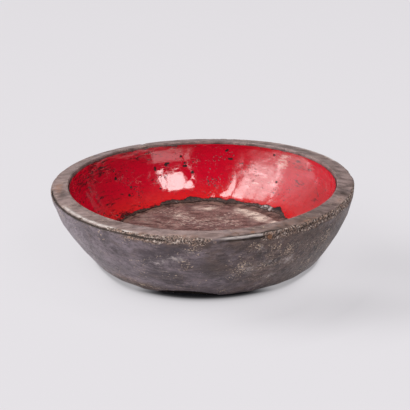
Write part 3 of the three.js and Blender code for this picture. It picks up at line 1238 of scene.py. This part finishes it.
@dataclass
class BowlBody(Piece):
    """The hewn block: foot, chopped heel, outer wall, worn lip, rim, cove, gutter and floor."""

    node: str = "bowl_body"
    slot: str = "stained_wood"
    finishes: tuple[Finish, ...] = (StainedWood(), BareWood(), HeelShadeWood())
    columns: int = 640
    foot_shares: tuple[float, ...] = (0, 0.3, 0.6, 0.8, 0.93)
    heel_rows: int = 8
    wall_rows: int = 42
    lip_rows: int = 26
    lip_height: float = 15
    round_rows: int = 4
    rim_rows: int = 22
    hollow_shares: tuple[float, ...] = (0, 0.012, 0.03, 0.2, 0.38, 0.56, 0.7, 0.76)
    cove_rows: int = 14
    gutter_rows: int = 5
    floor_rows: int = 20
    under_coats: float = -0.4
    adze: Strokes = Strokes(seed=11, wide=62, high=34, depth=0.8)
    adze_fall: float = 100
    wall_unevenness: float = 0.3
    grain_relief: float = 0.14
    rim_unevenness: float = 0.18
    line_waver: float = 0.7
    crack_waver: float = 0.8
    floor_scrape: float = 0.16
    floor_hollow: float = 0.3
    cove_roughness: float = 0.25
    chop_unevenness: float = 0.3
    noise: Noise = field(default_factory=lambda: Noise(21))
    lines: tuple[Line, ...] = (
        Line((-174, -1.2), (-122, -0.2), 4, 1.5), Line((-132, -0.5), (-101, 3), 3, 1),
        Line((-86, -4.4), (-56, -3.4), 2.6, 1.1), Line((-86, 3.6), (-64, 3.8), 2.8, 1.1),
        Line((-58, 5), (-30, 5.6), 2, 0.5), Line((-156, -6), (-112, -5.4), 4.6, -0.7),
        Line((-86, 0.2), (-58, 0.3), 3, -0.45), Line((6, 2.2), (72, 3), 2.4, 1.2),
        Line((84, -0.8), (168, 1.6), 2.6, 1.4), Line((20, -2), (66, -1.6), 4, -0.6),
    )
    frays: tuple[Fray, ...] = (
        Fray(-133, -104, -7, 0.5, 0.8, 16), Fray(-116, -92, -8.5, 5, 1.05, 8),
        Fray(-124, -97, 1.2, 6.6, 0.9, 12), Fray(-97, -84, -3, 4, 0.85),
        Fray(-114, -86, -5, 7, 0.5, 7), Fray(-72, 2, -1.2, 9.8, 1.5),
        Fray(-180, -124, -2.6, 0.6, 0.5), Fray(4, 24, -1, 6, 0.9), Fray(66, 96, -3, 5.5, 1.1),
        Fray(140, 178, -1, 3.5, 0.7),
    )
    cracks: tuple[Mark, ...] = marks(
        (-95.4, -6, 0.55, 7, 2.4), (-107, -2, 1.4, 2.6, 1.4), (-88.5, 1.5, 1.6, 2.2, 1.3),
        (118, -4, 0.8, 5, 1.8),
    )
    layers: tuple[Layer, ...] = (
        Layer("smudge", 3, marks(
            (-107, 35, 5, 6.5, 0.75), (-100, 28, 4.6, 5, 0.95), (-95, 20, 3.2, 4.5, 0.8),
            (-105, 46, 4, 5, 0.35), (-73, 48, 4.5, 10, 0.95), (-63, 44, 6, 9, 0.75),
            (-54, 46, 5, 10, 1), (-61, 67, 5, 5, 0.9), (-50, 25, 7, 8, 0.5), (-68, 22, 8, 8, 0.5),
            (-148, 30, 8, 16, 0.35), (-30, 58, 6, 9, 0.35), (35, 40, 7, 9, 0.6),
            (96, 52, 9, 8, 0.6), (150, 30, 6, 7, 0.7),
        )),
        Layer("wear", 0, marks(
            (-64, 36, 20, 32, 1), (-38, 36, 18, 44, 1), (-100, 52, 12, 16, 0.55),
            (-129, 78, 9, 7, 1), (-118, 84, 9, 4, 0.8), (60, 45, 22, 28, 0.8),
            (170, 55, 14, 20, 0.6),
        )),
        Layer("rust", 1, marks(
            (-173, -10, 5, 5, 0.8), (-115, -4, 9, 5, 0.9), (-98, -8, 7, 4, 0.5),
            (-71, -8, 1.6, 2.6, 1), (-45, -4, 5, 3, 0.8), (-129, 78, 8, 6, 0.35),
            (-20, -9, 4, 4, 0.4), (-56, -9, 12, 7, 0.35), (-78, -10, 6, 5, 0.3),
            (70, -8, 8, 4, 0.5),
        )),
        Layer("stain", 2, marks(
            (-165, -14, 4, 5, 0.8), (-60, -5, 6, 5, 0.8), (-46, -10, 14, 7, 0.6),
            (-70, -12, 10, 5, 0.3), (-12, -10, 3.5, 7, 0.9), (-138, 39, 2.2, 4.5, 0.7),
            (-136, 53, 4, 4, 0.4), (-88, 42, 7, 12, 0.5), (-46, 20, 5, 9, 0.5),
            (40, -12, 7, 6, 0.6), (112, 30, 8, 12, 0.5),
        )),
        Layer("warm", 0, marks(
            (-44, 50, 34, 60, 0.75), (-66, 10, 30, 12, 0.6), (-122, 86, 20, 9, 0.6),
            (60, 40, 50, 50, 0.3),
        )),
        # Lighter places: a painted sheen on the left wall and the rim's front, and pale wear near the
        # heel.
        Layer("pale", 3, marks(
            (-165, 50, 32, 60, 1), (-97, -15, 20, 8, 1), (-128, 79, 13, 8, 0.9),
            (-118, 40, 9, 10, 0.4), (170, 40, 20, 50, 0.5), (30, 60, 16, 20, 0.4),
        )),
    )
    patches: tuple[Mark, ...] = marks(
        (54, 90, 14, 12), (68, 76, 12, 13, 1.15), (78, 62, 12, 13, 1.15), (95, 47, 13, 10, 0.7),
        (2, 98, 18, 11, 0.75), (-33, 71, 14, 12, 0.65), (-26, 43, 3, 3), (-39, 39, 2, 3, 0.8),
        (-78, 58, 8, 20, 0.4), (20, 60, 22, 10, 0.3), (-10, -50, 40, 26, 0.7),
        (60, -60, 20, 20, 0.6),
    )

    def make(self) -> bpy.types.Object:
        """Builds the block's mesh with its masks.

        Returns:
            The block.
        """
        turn = np.linspace(0, TAU, self.columns, endpoint=False)[:, None]
        outside, drop = self._outside(turn)
        inside, share = self._inside(turn)
        dent, masks = self._outside_marks(turn, drop, outside)
        dent = np.hstack([dent, self._inside_marks(inside, share)])
        points = np.concatenate([outside, inside], axis=1)
        points = points + Grid.normals(points) * dent[..., None]
        points, chopped = self._chopped(points)
        masks = {name: np.hstack([values, 0 * share]) for name, values in masks.items()}
        hollow = {
            "bare": smooth(share, 0.6, 0.7),
            # Where the cove's darker colour and painted red reflection go.
            "cove": 1 - smooth(share, 1.45, 1.9),
            "patch": self._bleached(inside),
        }
        masks |= {name: np.hstack([0 * drop, values]) for name, values in hollow.items()}
        # The chopped heel gets the painted shade finish.
        masks["char"] = chopped
        masks["rim"][:, drop.shape[1] :] = 1 - smooth(share, 0.0, 0.05)
        return Grid.closed_by_poles("bowl_wood", points, masks)

    def _outside(self, turn: Array) -> tuple[Array, Array]:
        """Gives the foot, heel, outer wall, lip and rim, with each point's drop.

        Args:
            turn: The columns' turns in radians.

        Returns:
            Points by column and row, and their drops, which are negative on the rim.
        """
        form = self.form
        corner, _ = form.outer_wall(turn, form.edge_height)
        heel_drop = form.edge_height - form.heel_height
        heel_top, _ = form.outer_wall(turn, heel_drop)
        foot_edge = corner - form.heel_depth
        parts = [(foot_edge * share, 0.0, form.edge_height) for share in self.foot_shares]
        for share in np.linspace(0, 1, self.heel_rows + 1)[:-1]:
            rest = 1 - share
            radius = foot_edge * rest**2 + 2 * corner * rest * share + heel_top * share**2
            height = form.heel_height * share**2
            parts.append((radius, height, form.edge_height - height))
        wall = np.linspace(heel_drop, self.lip_height, self.wall_rows)
        lip = np.linspace(self.lip_height, form.lip_round, self.lip_rows)[1:]
        for drop in (*wall, *lip):
            parts.append((form.outer_wall(turn, drop)[0], form.edge_height - drop, drop))
        edge, _ = form.outer_wall(turn, form.lip_round)
        for angle in np.radians(np.linspace(0, 90, self.round_rows + 1)[1:]):
            radius = edge - form.lip_round * (1 - math.cos(angle))
            fall = form.lip_round * (1 - math.sin(angle))
            parts.append((radius, form.edge_height - fall, fall))
        inner = form.mouth.at(turn) + form.inner_edge_round
        for share in np.linspace(0, 1, self.rim_rows + 2)[1:-1] ** 1.2:
            radius = blend(edge - form.lip_round, inner, share)
            parts.append((radius, form.edge_height + form.rim_fall * share, radius - edge))
        radius, height, drop = (np.hstack([part[i] + 0 * turn for part in parts]) for i in range(3))
        return form.placed(turn, radius, height, 1.0), drop

    def _inside(self, turn: Array) -> tuple[Array, Array]:
        """Gives the inner edge, inner wall, cove, gutter and floor, with each point's share.

        Args:
            turn: The columns' turns in radians.

        Returns:
            Points by column and row, and how far down the hollow each is, over 1 past the gutter.
        """
        form = self.form
        edge = form.mouth.at(turn)
        floor_edge = form.floor_radius - 1
        parts = []
        for angle in np.radians(np.linspace(90, 0, self.round_rows + 1)[:-1]):
            radius = edge + form.inner_edge_round * (1 - math.cos(angle))
            height = form.height - form.inner_edge_round * (1 - math.sin(angle))
            parts.append((form.placed(turn, radius, height, 0.0), 0.0))
        for share in (*self.hollow_shares, *np.linspace(0.78, 1, self.cove_rows)):
            covered = smooth(share, 0.015, 0.03) * (1 - smooth(share, 0.7, 0.76))
            parts.append((form.in_hollow(turn, share + 0 * turn, self.under_coats * covered), share))
        for share in np.linspace(0, 1, self.gutter_rows + 1)[1:]:
            radius = blend(form.floor_radius + form.gutter_width / 2, floor_edge, share)
            height = form.floor_height - form.gutter_depth * (1 - smooth(share, 0.25, 1))
            parts.append((form.placed(turn, radius, height, 0.0), 1 + share))
        for share in np.linspace(0, 1, self.floor_rows)[1:]:
            radius = floor_edge * (1 - share)
            parts.append((form.placed(turn, radius, form.floor_height, 0.0), 2 + share))
        points = np.concatenate([part[0].reshape(self.columns, 1, 3) for part in parts], axis=1)
        return points, np.hstack([part[1] + 0 * turn for part in parts])

    def _outside_marks(
        self, turn: Array, drop: Array, points: Array
    ) -> tuple[Array, dict[str, Array]]:
        """Carves the outer wall, lip and rim, and marks where they are stained and worn.

        Args:
            turn: The columns' turns in radians.
            drop: Each point's drop.
            points: The uncarved points.

        Returns:
            How far each point moves out, and the masks by name.
        """
        noise = self.noise
        radius = self.form.rim.radius
        on_wall = smooth(drop, 8, 16)
        on_rim = smooth(-drop, 2, 5)
        waver = noise.at(points, 11) + 0.5 * noise.at(points, 3.6)
        around = (turn * radius, np.maximum(drop, 0), TAU * radius, self.adze_fall)
        dent = -on_wall * self.adze.depth_at(*around)
        dent += self.wall_unevenness * on_wall * (noise.layered(points, 48) - 1)
        dent += self.grain_relief * on_wall * (noise.layered(points * [0.25, 1, 1], 5) - 1)
        dent += self.rim_unevenness * on_rim * (noise.layered(points * [0.4, 1, 1], 14) - 1)
        groove, bead, crust = (np.zeros(drop.shape) for _ in range(3))
        for line in self.lines:
            depth = line.depth_at(turn, drop - self.line_waver * waver)
            dent -= depth * (1 + 0.35 * waver)
            groove = np.maximum(groove, depth)
            bead = np.maximum(bead, -depth)
        grains = 0.25 + 0.75 * smooth(noise.layered(points, 3.2, 2), -0.15, 0.4)
        for fray in self.frays:
            share = fray.share(turn, drop, waver)
            crust = np.maximum(crust, share)
            dent -= fray.depth * share * grains
        for crack in self.cracks:
            share = crack.on_wall(turn, drop + self.crack_waver * waver)
            dent -= share
            crust = np.maximum(crust, 0.35 * share)
        masks = {layer.name: layer.share(turn, drop, waver) for layer in self.layers}
        masks["crust"] = crust
        # Where the lip's grooves are painted dark as shade.
        masks["groove"] = np.clip(1.5 * groove * (0.85 + 0.6 * noise.layered(points, 15)), 0, 1)
        masks["bead"] = np.clip(1.4 * bead, 0, 1)
        masks["rim"] = 1 - smooth(drop + 0.8 * waver, -0.5, 1.5)
        return dent, masks

    def _inside_marks(self, points: Array, share: Array) -> Array:
        """Gives the scrapes on the floor and the roughness of the cove.

        Args:
            points: The uncarved points of the hollow.
            share: How far down the hollow each point is.

        Returns:
            How far each point moves off the wood.
        """
        noise = self.noise
        on_floor = smooth(share, 1.6, 2.1)
        in_cove = smooth(share, 0.8, 0.86) * (1 - on_floor)
        dent = self.floor_scrape * on_floor * (noise.layered(points * [0.3, 1, 1], 4) - 0.6)
        dent += self.floor_hollow * on_floor * (noise.layered(points * [0.6, 1, 1], 22) - 0.8)
        return dent + self.cove_roughness * in_cove * (noise.layered(points * [0.5, 1, 1], 7) - 0.5)

    def _bleached(self, points: Array) -> Array:
        """Gives how bleached each place of the floor is, above 1 where it is palest."""
        places = points + 3 * self.noise.layered(points, 9)[..., None]
        return np.maximum.reduce([patch.on_floor(places) for patch in self.patches])

    def _chopped(self, points: Array) -> tuple[Array, Array]:
        """Lifts what lies under the plane of the heel's chop on to that plane.

        Args:
            points: The block's points.

        Returns:
            The new points, and 1 where a point was lifted.
        """
        form = self.form
        turn = math.radians(form.chop_turn)
        away = points[..., 0] * math.cos(turn) + points[..., 1] * math.sin(turn)
        uneven = self.chop_unevenness * self.noise.layered(points * [0.5, 1, 0.2], 9)
        plane = (away - form.chop_reach) * math.tan(math.radians(form.chop_tilt)) + uneven
        near = (points[..., 2] < 20) & (away > 0)
        lifted = np.where(near, np.maximum(points[..., 2], plane), points[..., 2])
        chopped = (lifted > points[..., 2] + 0.01).astype(float)
        height = np.maximum(lifted, 0)[..., None]
        return np.concatenate([points[..., :2], height], axis=-1), chopped

    def dress(self, piece: bpy.types.Object, effects: Effects) -> None:
        """Gives the outside, the floor and the chopped heel their own finishes, the heel's being
        painted shade.

        Args:
            piece: The block.
            effects: The node groups that the finishes share.
        """
        super().dress(piece, effects)
        bare, char = (np.zeros(len(piece.data.vertices), np.float32) for _ in range(2))
        piece.data.attributes["bare"].data.foreach_get("value", bare)
        piece.data.attributes["char"].data.foreach_get("value", char)
        for polygon in piece.data.polygons:
            corners = list(polygon.vertices)
            polygon.material_index = int(bare[corners].mean() > 0.5)
            # Faces of the chopped heel take the painted shade.
            if char[corners].mean() > 0.6:
                polygon.material_index = 2


@dataclass
class Coat(Piece):
    """A thin coat on the inner wall, with a ragged lower edge, bites in it and chipped holes."""

    name: str
    columns: int
    rows: int
    back: float
    face: float
    start: float
    stop: float
    ragged: float
    wear: float
    noise: Noise
    layers: tuple[Layer, ...]
    bites: tuple[tuple[float, float, float], ...] = ()
    chips: Layer = Layer("chip", 0, ())
    end_tilt: float = -0.025
    end_ripple: float = 0.008
    top_gap: float = 0.005
    top_ragged: float = 0.007
    past_stop: float = 0.085
    brushing: float = 0.09
    brush_lines: float = 0.03
    spared_top: float = 0.2
    spared_low: float = 0.36
    chip_waver: float = 0.016
    chip_weight: float = 1.5
    limit: float = 1.08

    def _stop_at(self, turn: Array) -> Array:
        """Gives the share of the wall where the coat ends."""
        ripple = np.sin(5 * turn + 1) + np.sin(9 * turn) + np.sin(14 * turn + 2)
        return self.stop + self.end_tilt * np.cos(turn) + self.end_ripple * ripple

    def _kept(self, turn: Array, share: Array, base: Array) -> Array:
        """Tells where the coat is left, which isn't past its edges or in a chip.

        Args:
            turn: Angle round the axis in radians.
            share: Share of the way down the inner wall.
            base: Places of the coat's hidden side.

        Returns:
            Whether the coat covers each place.
        """
        noise = self.noise
        end = self._stop_at(turn) + self.ragged * noise.layered(base * [0.4, 0.4, 1], 6, 4)
        for toward, wide, depth in self.bites:
            end = end - depth * np.exp(-((turn_gap(turn, toward) / wide) ** 2))
        top = self.start + self.top_gap + self.top_ragged * noise.layered(base, 5)
        kept = (share < end) & (share > top)
        if self.wear > 0:
            fine = noise.at(base, 2.6)
            spots = noise.layered(base * [0.6, 0.6, 1.2], 5, 2) + 0.3 * noise.at(base, 34)
            spots = spots + 0.4 * fine
            near_top = self.spared_top * (1 - smooth(share, 0.01, 0.07))
            near_low = self.spared_low * smooth(share, self.stop - 0.09, self.stop)
            aside = turn + self.chip_waver * noise.at(base + 50, 3.0)
            chipped = self.chip_weight * self.chips.share(aside, share, fine)
            kept = kept & (spots + near_top + near_low + chipped < self.limit - self.wear)
        return kept

    def make(self) -> bpy.types.Object:
        """Builds the coat with its holes.

        Returns:
            The coat, with a thickness.
        """
        turn = np.linspace(0, TAU, self.columns, endpoint=False)[:, None]
        share = np.linspace(self.start, min(self.stop + self.past_stop, 0.985), self.rows)[None, :]
        turn, share = np.broadcast_arrays(turn, share)
        base = self.form.in_hollow(turn, share, self.back + 0 * turn)
        brushed = self.brushing * self.noise.layered(base * [1, 1, 1.6], 15)
        brushed += self.brush_lines * self.noise.layered(base * [0.3, 0.3, 1], 3)
        face = self.form.in_hollow(turn, share, self.face + brushed)
        kept = self._kept(turn, share, base)
        cells = kept[:, :-1] & kept[:, 1:]
        cells = cells & np.roll(cells, -1, axis=0)
        waver = self.noise.layered(base, 14)
        masks = {layer.name: layer.share(turn, share, waver) for layer in self.layers}
        return Grid.shell(self.name, face, base, cells, {"down": share, **masks})


@dataclass
class GroundCoat(Coat):
    """The black ground under the red, which shows below its edge and in its chips."""

    name: str = "black_ground"
    node: str = "ground_coat"
    slot: str = "black_ground"
    finishes: tuple[Finish, ...] = (BlackGround(),)
    columns: int = 360
    rows: int = 48
    back: float = 0.12
    face: float = 0.95
    start: float = 0.012
    stop: float = 0.915
    ragged: float = 0.03
    wear: float = 0.0
    noise: Noise = field(default_factory=lambda: Noise(31))
    layers: tuple[Layer, ...] = (
        Layer("scuff", 0.04, marks(
            (47, 0.84, 9, 0.06, 1), (63, 0.86, 4, 0.04, 0.8), (-80, 0.85, 20, 0.06, 0.6),
        )),
    )


@dataclass
class RedCoat(Coat):
    """The red lacquer, chipped and soiled most at the left."""

    name: str = "red_lacquer"
    node: str = "lacquer_coat"
    slot: str = "red_lacquer"
    finishes: tuple[Finish, ...] = (RedLacquer(),)
    columns: int = 620
    rows: int = 72
    back: float = 1.05
    face: float = 1.55
    start: float = 0.008
    stop: float = 0.868
    ragged: float = 0.065
    wear: float = 0.1
    noise: Noise = field(default_factory=lambda: Noise(32))
    bites: tuple[tuple[float, float, float], ...] = (
        (97, 5, 0.1), (82, 11, 0.05), (111, 5, 0.05), (46, 4, 0.05), (38, 3, 0.06), (-70, 9, 0.05),
        (-140, 6, 0.06),
    )
    chips: Layer = Layer("chip", 0.045, marks(
        (116.2, 0.36, 0.7, 0.07, 0.8), (114.8, 0.43, 1.6, 0.016, 0.8), (110, 0.27, 1.4, 0.018, 0.7),
        (99.4, 0.3, 2.4, 0.015, 0.75), (101.6, 0.35, 0.8, 0.015, 0.65),
        (120, 0.39, 0.8, 0.04, 0.65), (118.5, 0.49, 0.7, 0.03, 0.6), (116, 0.6, 2.2, 0.016, 0.75),
        (107, 0.67, 1.8, 0.014, 0.65), (96.5, 0.42, 1.2, 0.02, 0.6), (124, 0.3, 1.5, 0.02, 0.6),
        (140, 0.33, 1.2, 0.03, 0.7), (136, 0.62, 0.9, 0.03, 0.6), (88, 0.3, 0.8, 0.03, 0.6),
        (78.5, 0.13, 0.7, 0.02, 0.7), (65, 0.46, 0.7, 0.02, 0.6), (54, 0.13, 0.7, 0.02, 0.6),
        (95, 0.78, 4, 0.05, 0.5), (-60, 0.3, 2, 0.04, 0.6), (-120, 0.5, 1.5, 0.05, 0.6),
    ))
    layers: tuple[Layer, ...] = (
        Layer("soil", 0.04, marks(
            (168, 0.2, 16, 0.35, 0.85), (152, 0.12, 16, 0.2, 1), (158, 0.6, 16, 0.3, 0.65),
            (150, 0.8, 20, 0.1, 0.7), (122, 0.08, 12, 0.12, 0.9), (104, 0.03, 10, 0.06, 0.8),
            (136, 0.55, 8, 0.2, 0.3), (112, 0.33, 8, 0.1, 0.5), (34, 0.36, 4, 0.05, 0.8),
            (37, 0.15, 8, 0.09, 0.9), (18, 0.4, 8, 0.12, 0.6), (50, 0.1, 6, 0.1, 0.6),
            (-100, 0.4, 30, 0.3, 0.5),
        )),
        Layer("dull", 0.04, marks(
            (57, 0.5, 17, 0.7, 1), (42, 0.1, 13, 0.2, 1.1), (103, 0.06, 12, 0.09, 0.6),
            (16, 0.5, 26, 0.45, 1.1), (-30, 0.4, 20, 0.4, 0.8),
        )),
        Layer("scuff", 0.04, marks(
            (49, 0.16, 6, 0.14, 1.15), (60, 0.45, 9, 0.35, 0.75), (45, 0.84, 7, 0.05, 1.2),
            (61, 0.83, 5, 0.05, 0.7), (104, 0.08, 9, 0.06, 0.9), (119, 0.5, 6, 0.2, 0.6),
            (-80, 0.8, 20, 0.06, 0.8),
        )),
    )


@dataclass
class Knot(Piece):
    """The dead knot in the lip: a short domed plug of end grain in a ragged ring."""

    node: str = "rim_knot"
    slot: str = "knot_wood"
    finishes: tuple[Finish, ...] = (KnotWood(),)
    turn: float = -65
    drop: float = 5.4
    diameter: float = 6.6
    length: float = 9
    sides: int = 40
    rings: int = 8
    unevenness: float = 0.08

    def make(self) -> bpy.types.Object:
        """Builds the plug, square to the wall.

        Returns:
            The plug.
        """
        turn = math.radians(self.turn)
        radius, height = self.form.outer_wall(np.array(turn), np.array(self.drop))
        centre = self.form.placed(np.array(turn), radius, height, 1.0)
        outward = np.array([math.cos(turn), math.sin(turn), 0.0])
        across = np.array([-math.sin(turn), math.cos(turn), 0.0])
        angle = np.linspace(0, TAU, self.sides, endpoint=False)[:, None]
        round_about = np.concatenate([np.cos(angle), np.sin(angle), 0 * angle], axis=-1)[:, None]
        dome = np.linspace(0.1, 1.57, self.rings)
        sides = [(0, -self.length), (0.42, -self.length), (0.44, -1.0), (0.49, -0.2)]
        steps = np.array([*sides, *zip(0.5 * np.cos(dome), 0.45 * np.sin(dome))])
        size = self.diameter * steps[:, 0] * (1 + self.unevenness * Noise(77).at(3 * round_about, 2.5))
        ring = round_about[..., :1] * across + round_about[..., 1:2] * [0.0, 0.0, 1.0]
        points = centre + size[..., None] * ring + steps[:, 1:] * outward
        return Grid.closed_by_poles("dead_knot", points, {})


class Panel(Enum):
    """Soft lights: way round, height angle, roll, distance, width, height, strength, mirrored."""

    KEY_RIGHT = (35, 44, 0, 3.0, 1.15, 1.35, 5.8, True)
    LOW_RIGHT = (33, 6, 0, 3.2, 1.6, 1.5, 1.1, True)
    FILL_RIGHT = (90, 58, 0, 3.0, 1.2, 1.2, 6.0, False)
    KEY_LEFT = (-66, 50, 25, 3.0, 1.8, 2.7, 5.8, True)
    LOW_LEFT = (-86, 1.5, 0, 3.2, 2.2, 0.5, 10.0, True)


@dataclass
class Studio:
    """The floor, the lights and the camera.

    Each pair of the painted foot shadow gives how far a ring of the floor is from the foot, and how
    light it is painted. The ovals paint a soft shadow on the floor towards the right front.
    """

    form: BowlForm
    paper: Colour = (0.765, 0.743, 0.772)
    paper_radius: float = 15000
    paper_columns: int = 192
    paper_share: float = 0.07
    # Painted shadow round the foot: distance of each floor ring from the foot, and its painted
    # lightness.
    painted_foot_shadow: tuple[tuple[float, float], ...] = (
        (-60, 0.0), (-4, 0.0), (0, 0.05), (1.5, 0.17), (3.6, 0.37), (7, 0.6), (11, 0.76),
        (14, 0.84), (22, 0.91), (29, 0.94), (43, 0.965), (70, 0.985), (110, 1.0),
        (150, 1.0), (200, 1.0), (260, 1.0), (330, 1.0), (420, 1.0), (600, 1.0),
    )
    # Painted soft shadows on the floor towards the right front.
    painted_soft_shadows: tuple[Mark, ...] = marks(
        (100, -192, 80, 38, 0.13), (185, -158, 90, 50, 0.19), (285, -55, 105, 95, 0.16),
    )
    # Colour of the painted shadow.
    painted_shadow_colour: Colour = (0.004, 0.004, 0.005)
    # These shape the painted shadow: narrower and lighter at the sides than at the front.
    side_reach: float = 0.25
    side_shade: float = 0.5
    front: tuple[float, float] = (0.45, 0.95)
    toe: tuple[float, float] = (0.78, 0.93)
    even: tuple[float, float] = (20, 150)
    fill: float = 0.03
    backdrop: float = 0.55
    glow: float = 1.6
    glow_toward: tuple[float, float, float] = (-0.95, -0.12, 0.18)
    camera_distance: float = 1.6
    camera_elevation: float = 21.23
    camera_pixels: float = 1238
    picture_pixels: float = 410
    sensor_width: float = 36.0
    aim: tuple[float, float, float] = (2.01, 1.9, 65.8)

    def make(self) -> None:
        """Sets up everything that isn't the bowl."""
        self._floor()
        self._world()
        for panel in Panel:
            self._light(panel)
        self._camera()
        view = bpy.context.scene.view_settings
        view.view_transform = "Standard"

    def _floor(self) -> None:
        """Lays a pale round floor, whose rings hold a painted shadow round the foot, with painted soft
        shadows towards the right front.
        """
        turn = np.linspace(0, TAU, self.paper_columns, endpoint=False)[:, None]
        away, shade = (np.array(steps)[None, :] + 0 * turn for steps in zip(*self.painted_foot_shadow))
        foot, _ = self.form.outer_wall(turn, self.form.edge_height)
        reach = blend(self.side_reach, 1.0, smooth(-np.sin(turn), *self.front))
        reach = blend(reach, 1.0, smooth(away, *self.even))
        away = np.minimum(away, 0) + np.maximum(away, 0) * reach
        darkest = blend(self.side_shade, 0.0, smooth(-np.sin(turn), *self.toe))
        shade = np.maximum(shade, darkest)
        points = self.form.placed(turn, foot + away, np.zeros(1), 1.0)
        # Paints the soft shadows towards the right front.
        for patch in self.painted_soft_shadows:
            shade = shade * (1 - patch.on_floor(points))
        far = self.paper_radius * np.stack([np.cos(turn), np.sin(turn), 0 * turn], axis=-1)
        points = np.concatenate([points, far], axis=1)
        shade = np.hstack([shade, 1 + 0 * turn])
        floor = Grid.disc("floor", points, {"shade": shade})
        floor.data.materials.append(self._floor_finish())

    def _floor_finish(self) -> bpy.types.Material:
        """Mixes lit paper with an even glow, which carries the painted shadow close to the bowl.

        Returns:
            The new material.
        """
        material = bpy.data.materials.new("pale_paper")
        material.use_nodes = True
        graph = Graph(material.node_tree)
        # The glow's colour is darkened by the painted shadow.
        colour = graph.mix(graph.mask("shade"), self.painted_shadow_colour, self.paper)
        lit = graph.add("BsdfDiffuse", {"Color": rgba(self.paper)})
        glow = graph.add("Emission", {"Color": colour, "Strength": 1.0})
        rays = graph.add("LightPath").outputs
        seen = graph.math("MAXIMUM", rays["Is Camera Ray"], rays["Is Glossy Ray"])
        share = graph.times(seen, 1 - self.paper_share)
        surface = graph.add("MixShader", {0: share, 1: lit.outputs[0], 2: glow.outputs[0]})
        graph.add("OutputMaterial", {"Surface": surface.outputs[0]})
        return material

    def _world(self) -> None:
        """Gives a dim surround that glows softly towards the left and low at the back."""
        world = bpy.data.worlds.new("surround")
        world.use_nodes = True
        graph = Graph(world.node_tree)
        way = graph.add("TexCoord").outputs["Generated"]
        toward = tuple(Vector(self.glow_toward).normalized())
        near = graph.add("VectorMath", {0: way, 1: toward}, operation="DOT_PRODUCT")
        parts = graph.add("SeparateXYZ", {0: way}).outputs
        low = graph.times(graph.ramp(parts["Y"], 0.4, 0.85), graph.ramp(parts["Z"], 0.45, 0.1))
        strength = graph.plus(self.fill, graph.ramp(near.outputs["Value"], 0.5, 1.0), self.glow)
        strength = graph.plus(strength, low, self.backdrop)
        background = graph.add("Background", {"Color": rgba(self.paper), "Strength": strength})
        graph.add("OutputWorld", {"Surface": background.outputs[0]})
        bpy.context.scene.world = world

    def _light(self, panel: Panel) -> None:
        """Hangs one soft light, aimed at the bowl.

        Args:
            panel: Its place, size and strength.
        """
        turn, rise, roll, distance, wide, high, strength, mirrored = panel.value
        lamp = bpy.data.lights.new(panel.name.lower(), "AREA")
        lamp.shape = "RECTANGLE"
        lamp.size = wide
        lamp.size_y = high
        lamp.energy = strength * wide * high * math.pi
        holder = bpy.data.objects.new(panel.name.lower(), lamp)
        holder.visible_glossy = mirrored
        bpy.context.scene.collection.objects.link(holder)
        across, up = math.radians(turn), math.radians(rise)
        toward = Vector(
            (math.sin(across) * math.cos(up), -math.cos(across) * math.cos(up), math.sin(up))
        )
        centre = Vector((0, 0, self.form.height * METRES / 2))
        holder.location = centre + toward * distance
        facing = toward.to_track_quat("Z", "Y")
        holder.rotation_euler = (facing @ Quaternion((0, 0, 1), math.radians(roll))).to_euler()

    def _camera(self) -> None:
        """Stands the camera where the photograph was taken from."""
        data = bpy.data.cameras.new("camera")
        data.sensor_width = self.sensor_width
        data.lens = self.camera_pixels / self.picture_pixels * self.sensor_width
        camera = bpy.data.objects.new("camera", data)
        bpy.context.scene.collection.objects.link(camera)
        rise = math.radians(self.camera_elevation)
        back = Vector((0, -math.cos(rise), math.sin(rise)))
        camera.location = Vector(self.aim) * METRES + back * self.camera_distance
        camera.rotation_euler = back.to_track_quat("Z", "Y").to_euler()
        bpy.context.scene.camera = camera


def report(piece: bpy.types.Object) -> None:
    """Logs a piece with its size."""
    mesh = piece.data
    LOG.info("%s: %d faces, %s m", piece.name, len(mesh.polygons), tuple(piece.dimensions))


def main() -> None:
    """Builds the bowl and its surroundings."""
    logging.basicConfig(level=logging.INFO)
    form = BowlForm()
    effects = Effects()
    Studio(form).make()

    for part in (BowlBody(form), GroundCoat(form), RedCoat(form), Knot(form)):
        piece = part.make()
        part.dress(piece, effects)
        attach(piece, "root")
        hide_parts(part.node)
        report(piece)


if __name__ == "__main__":
    main()
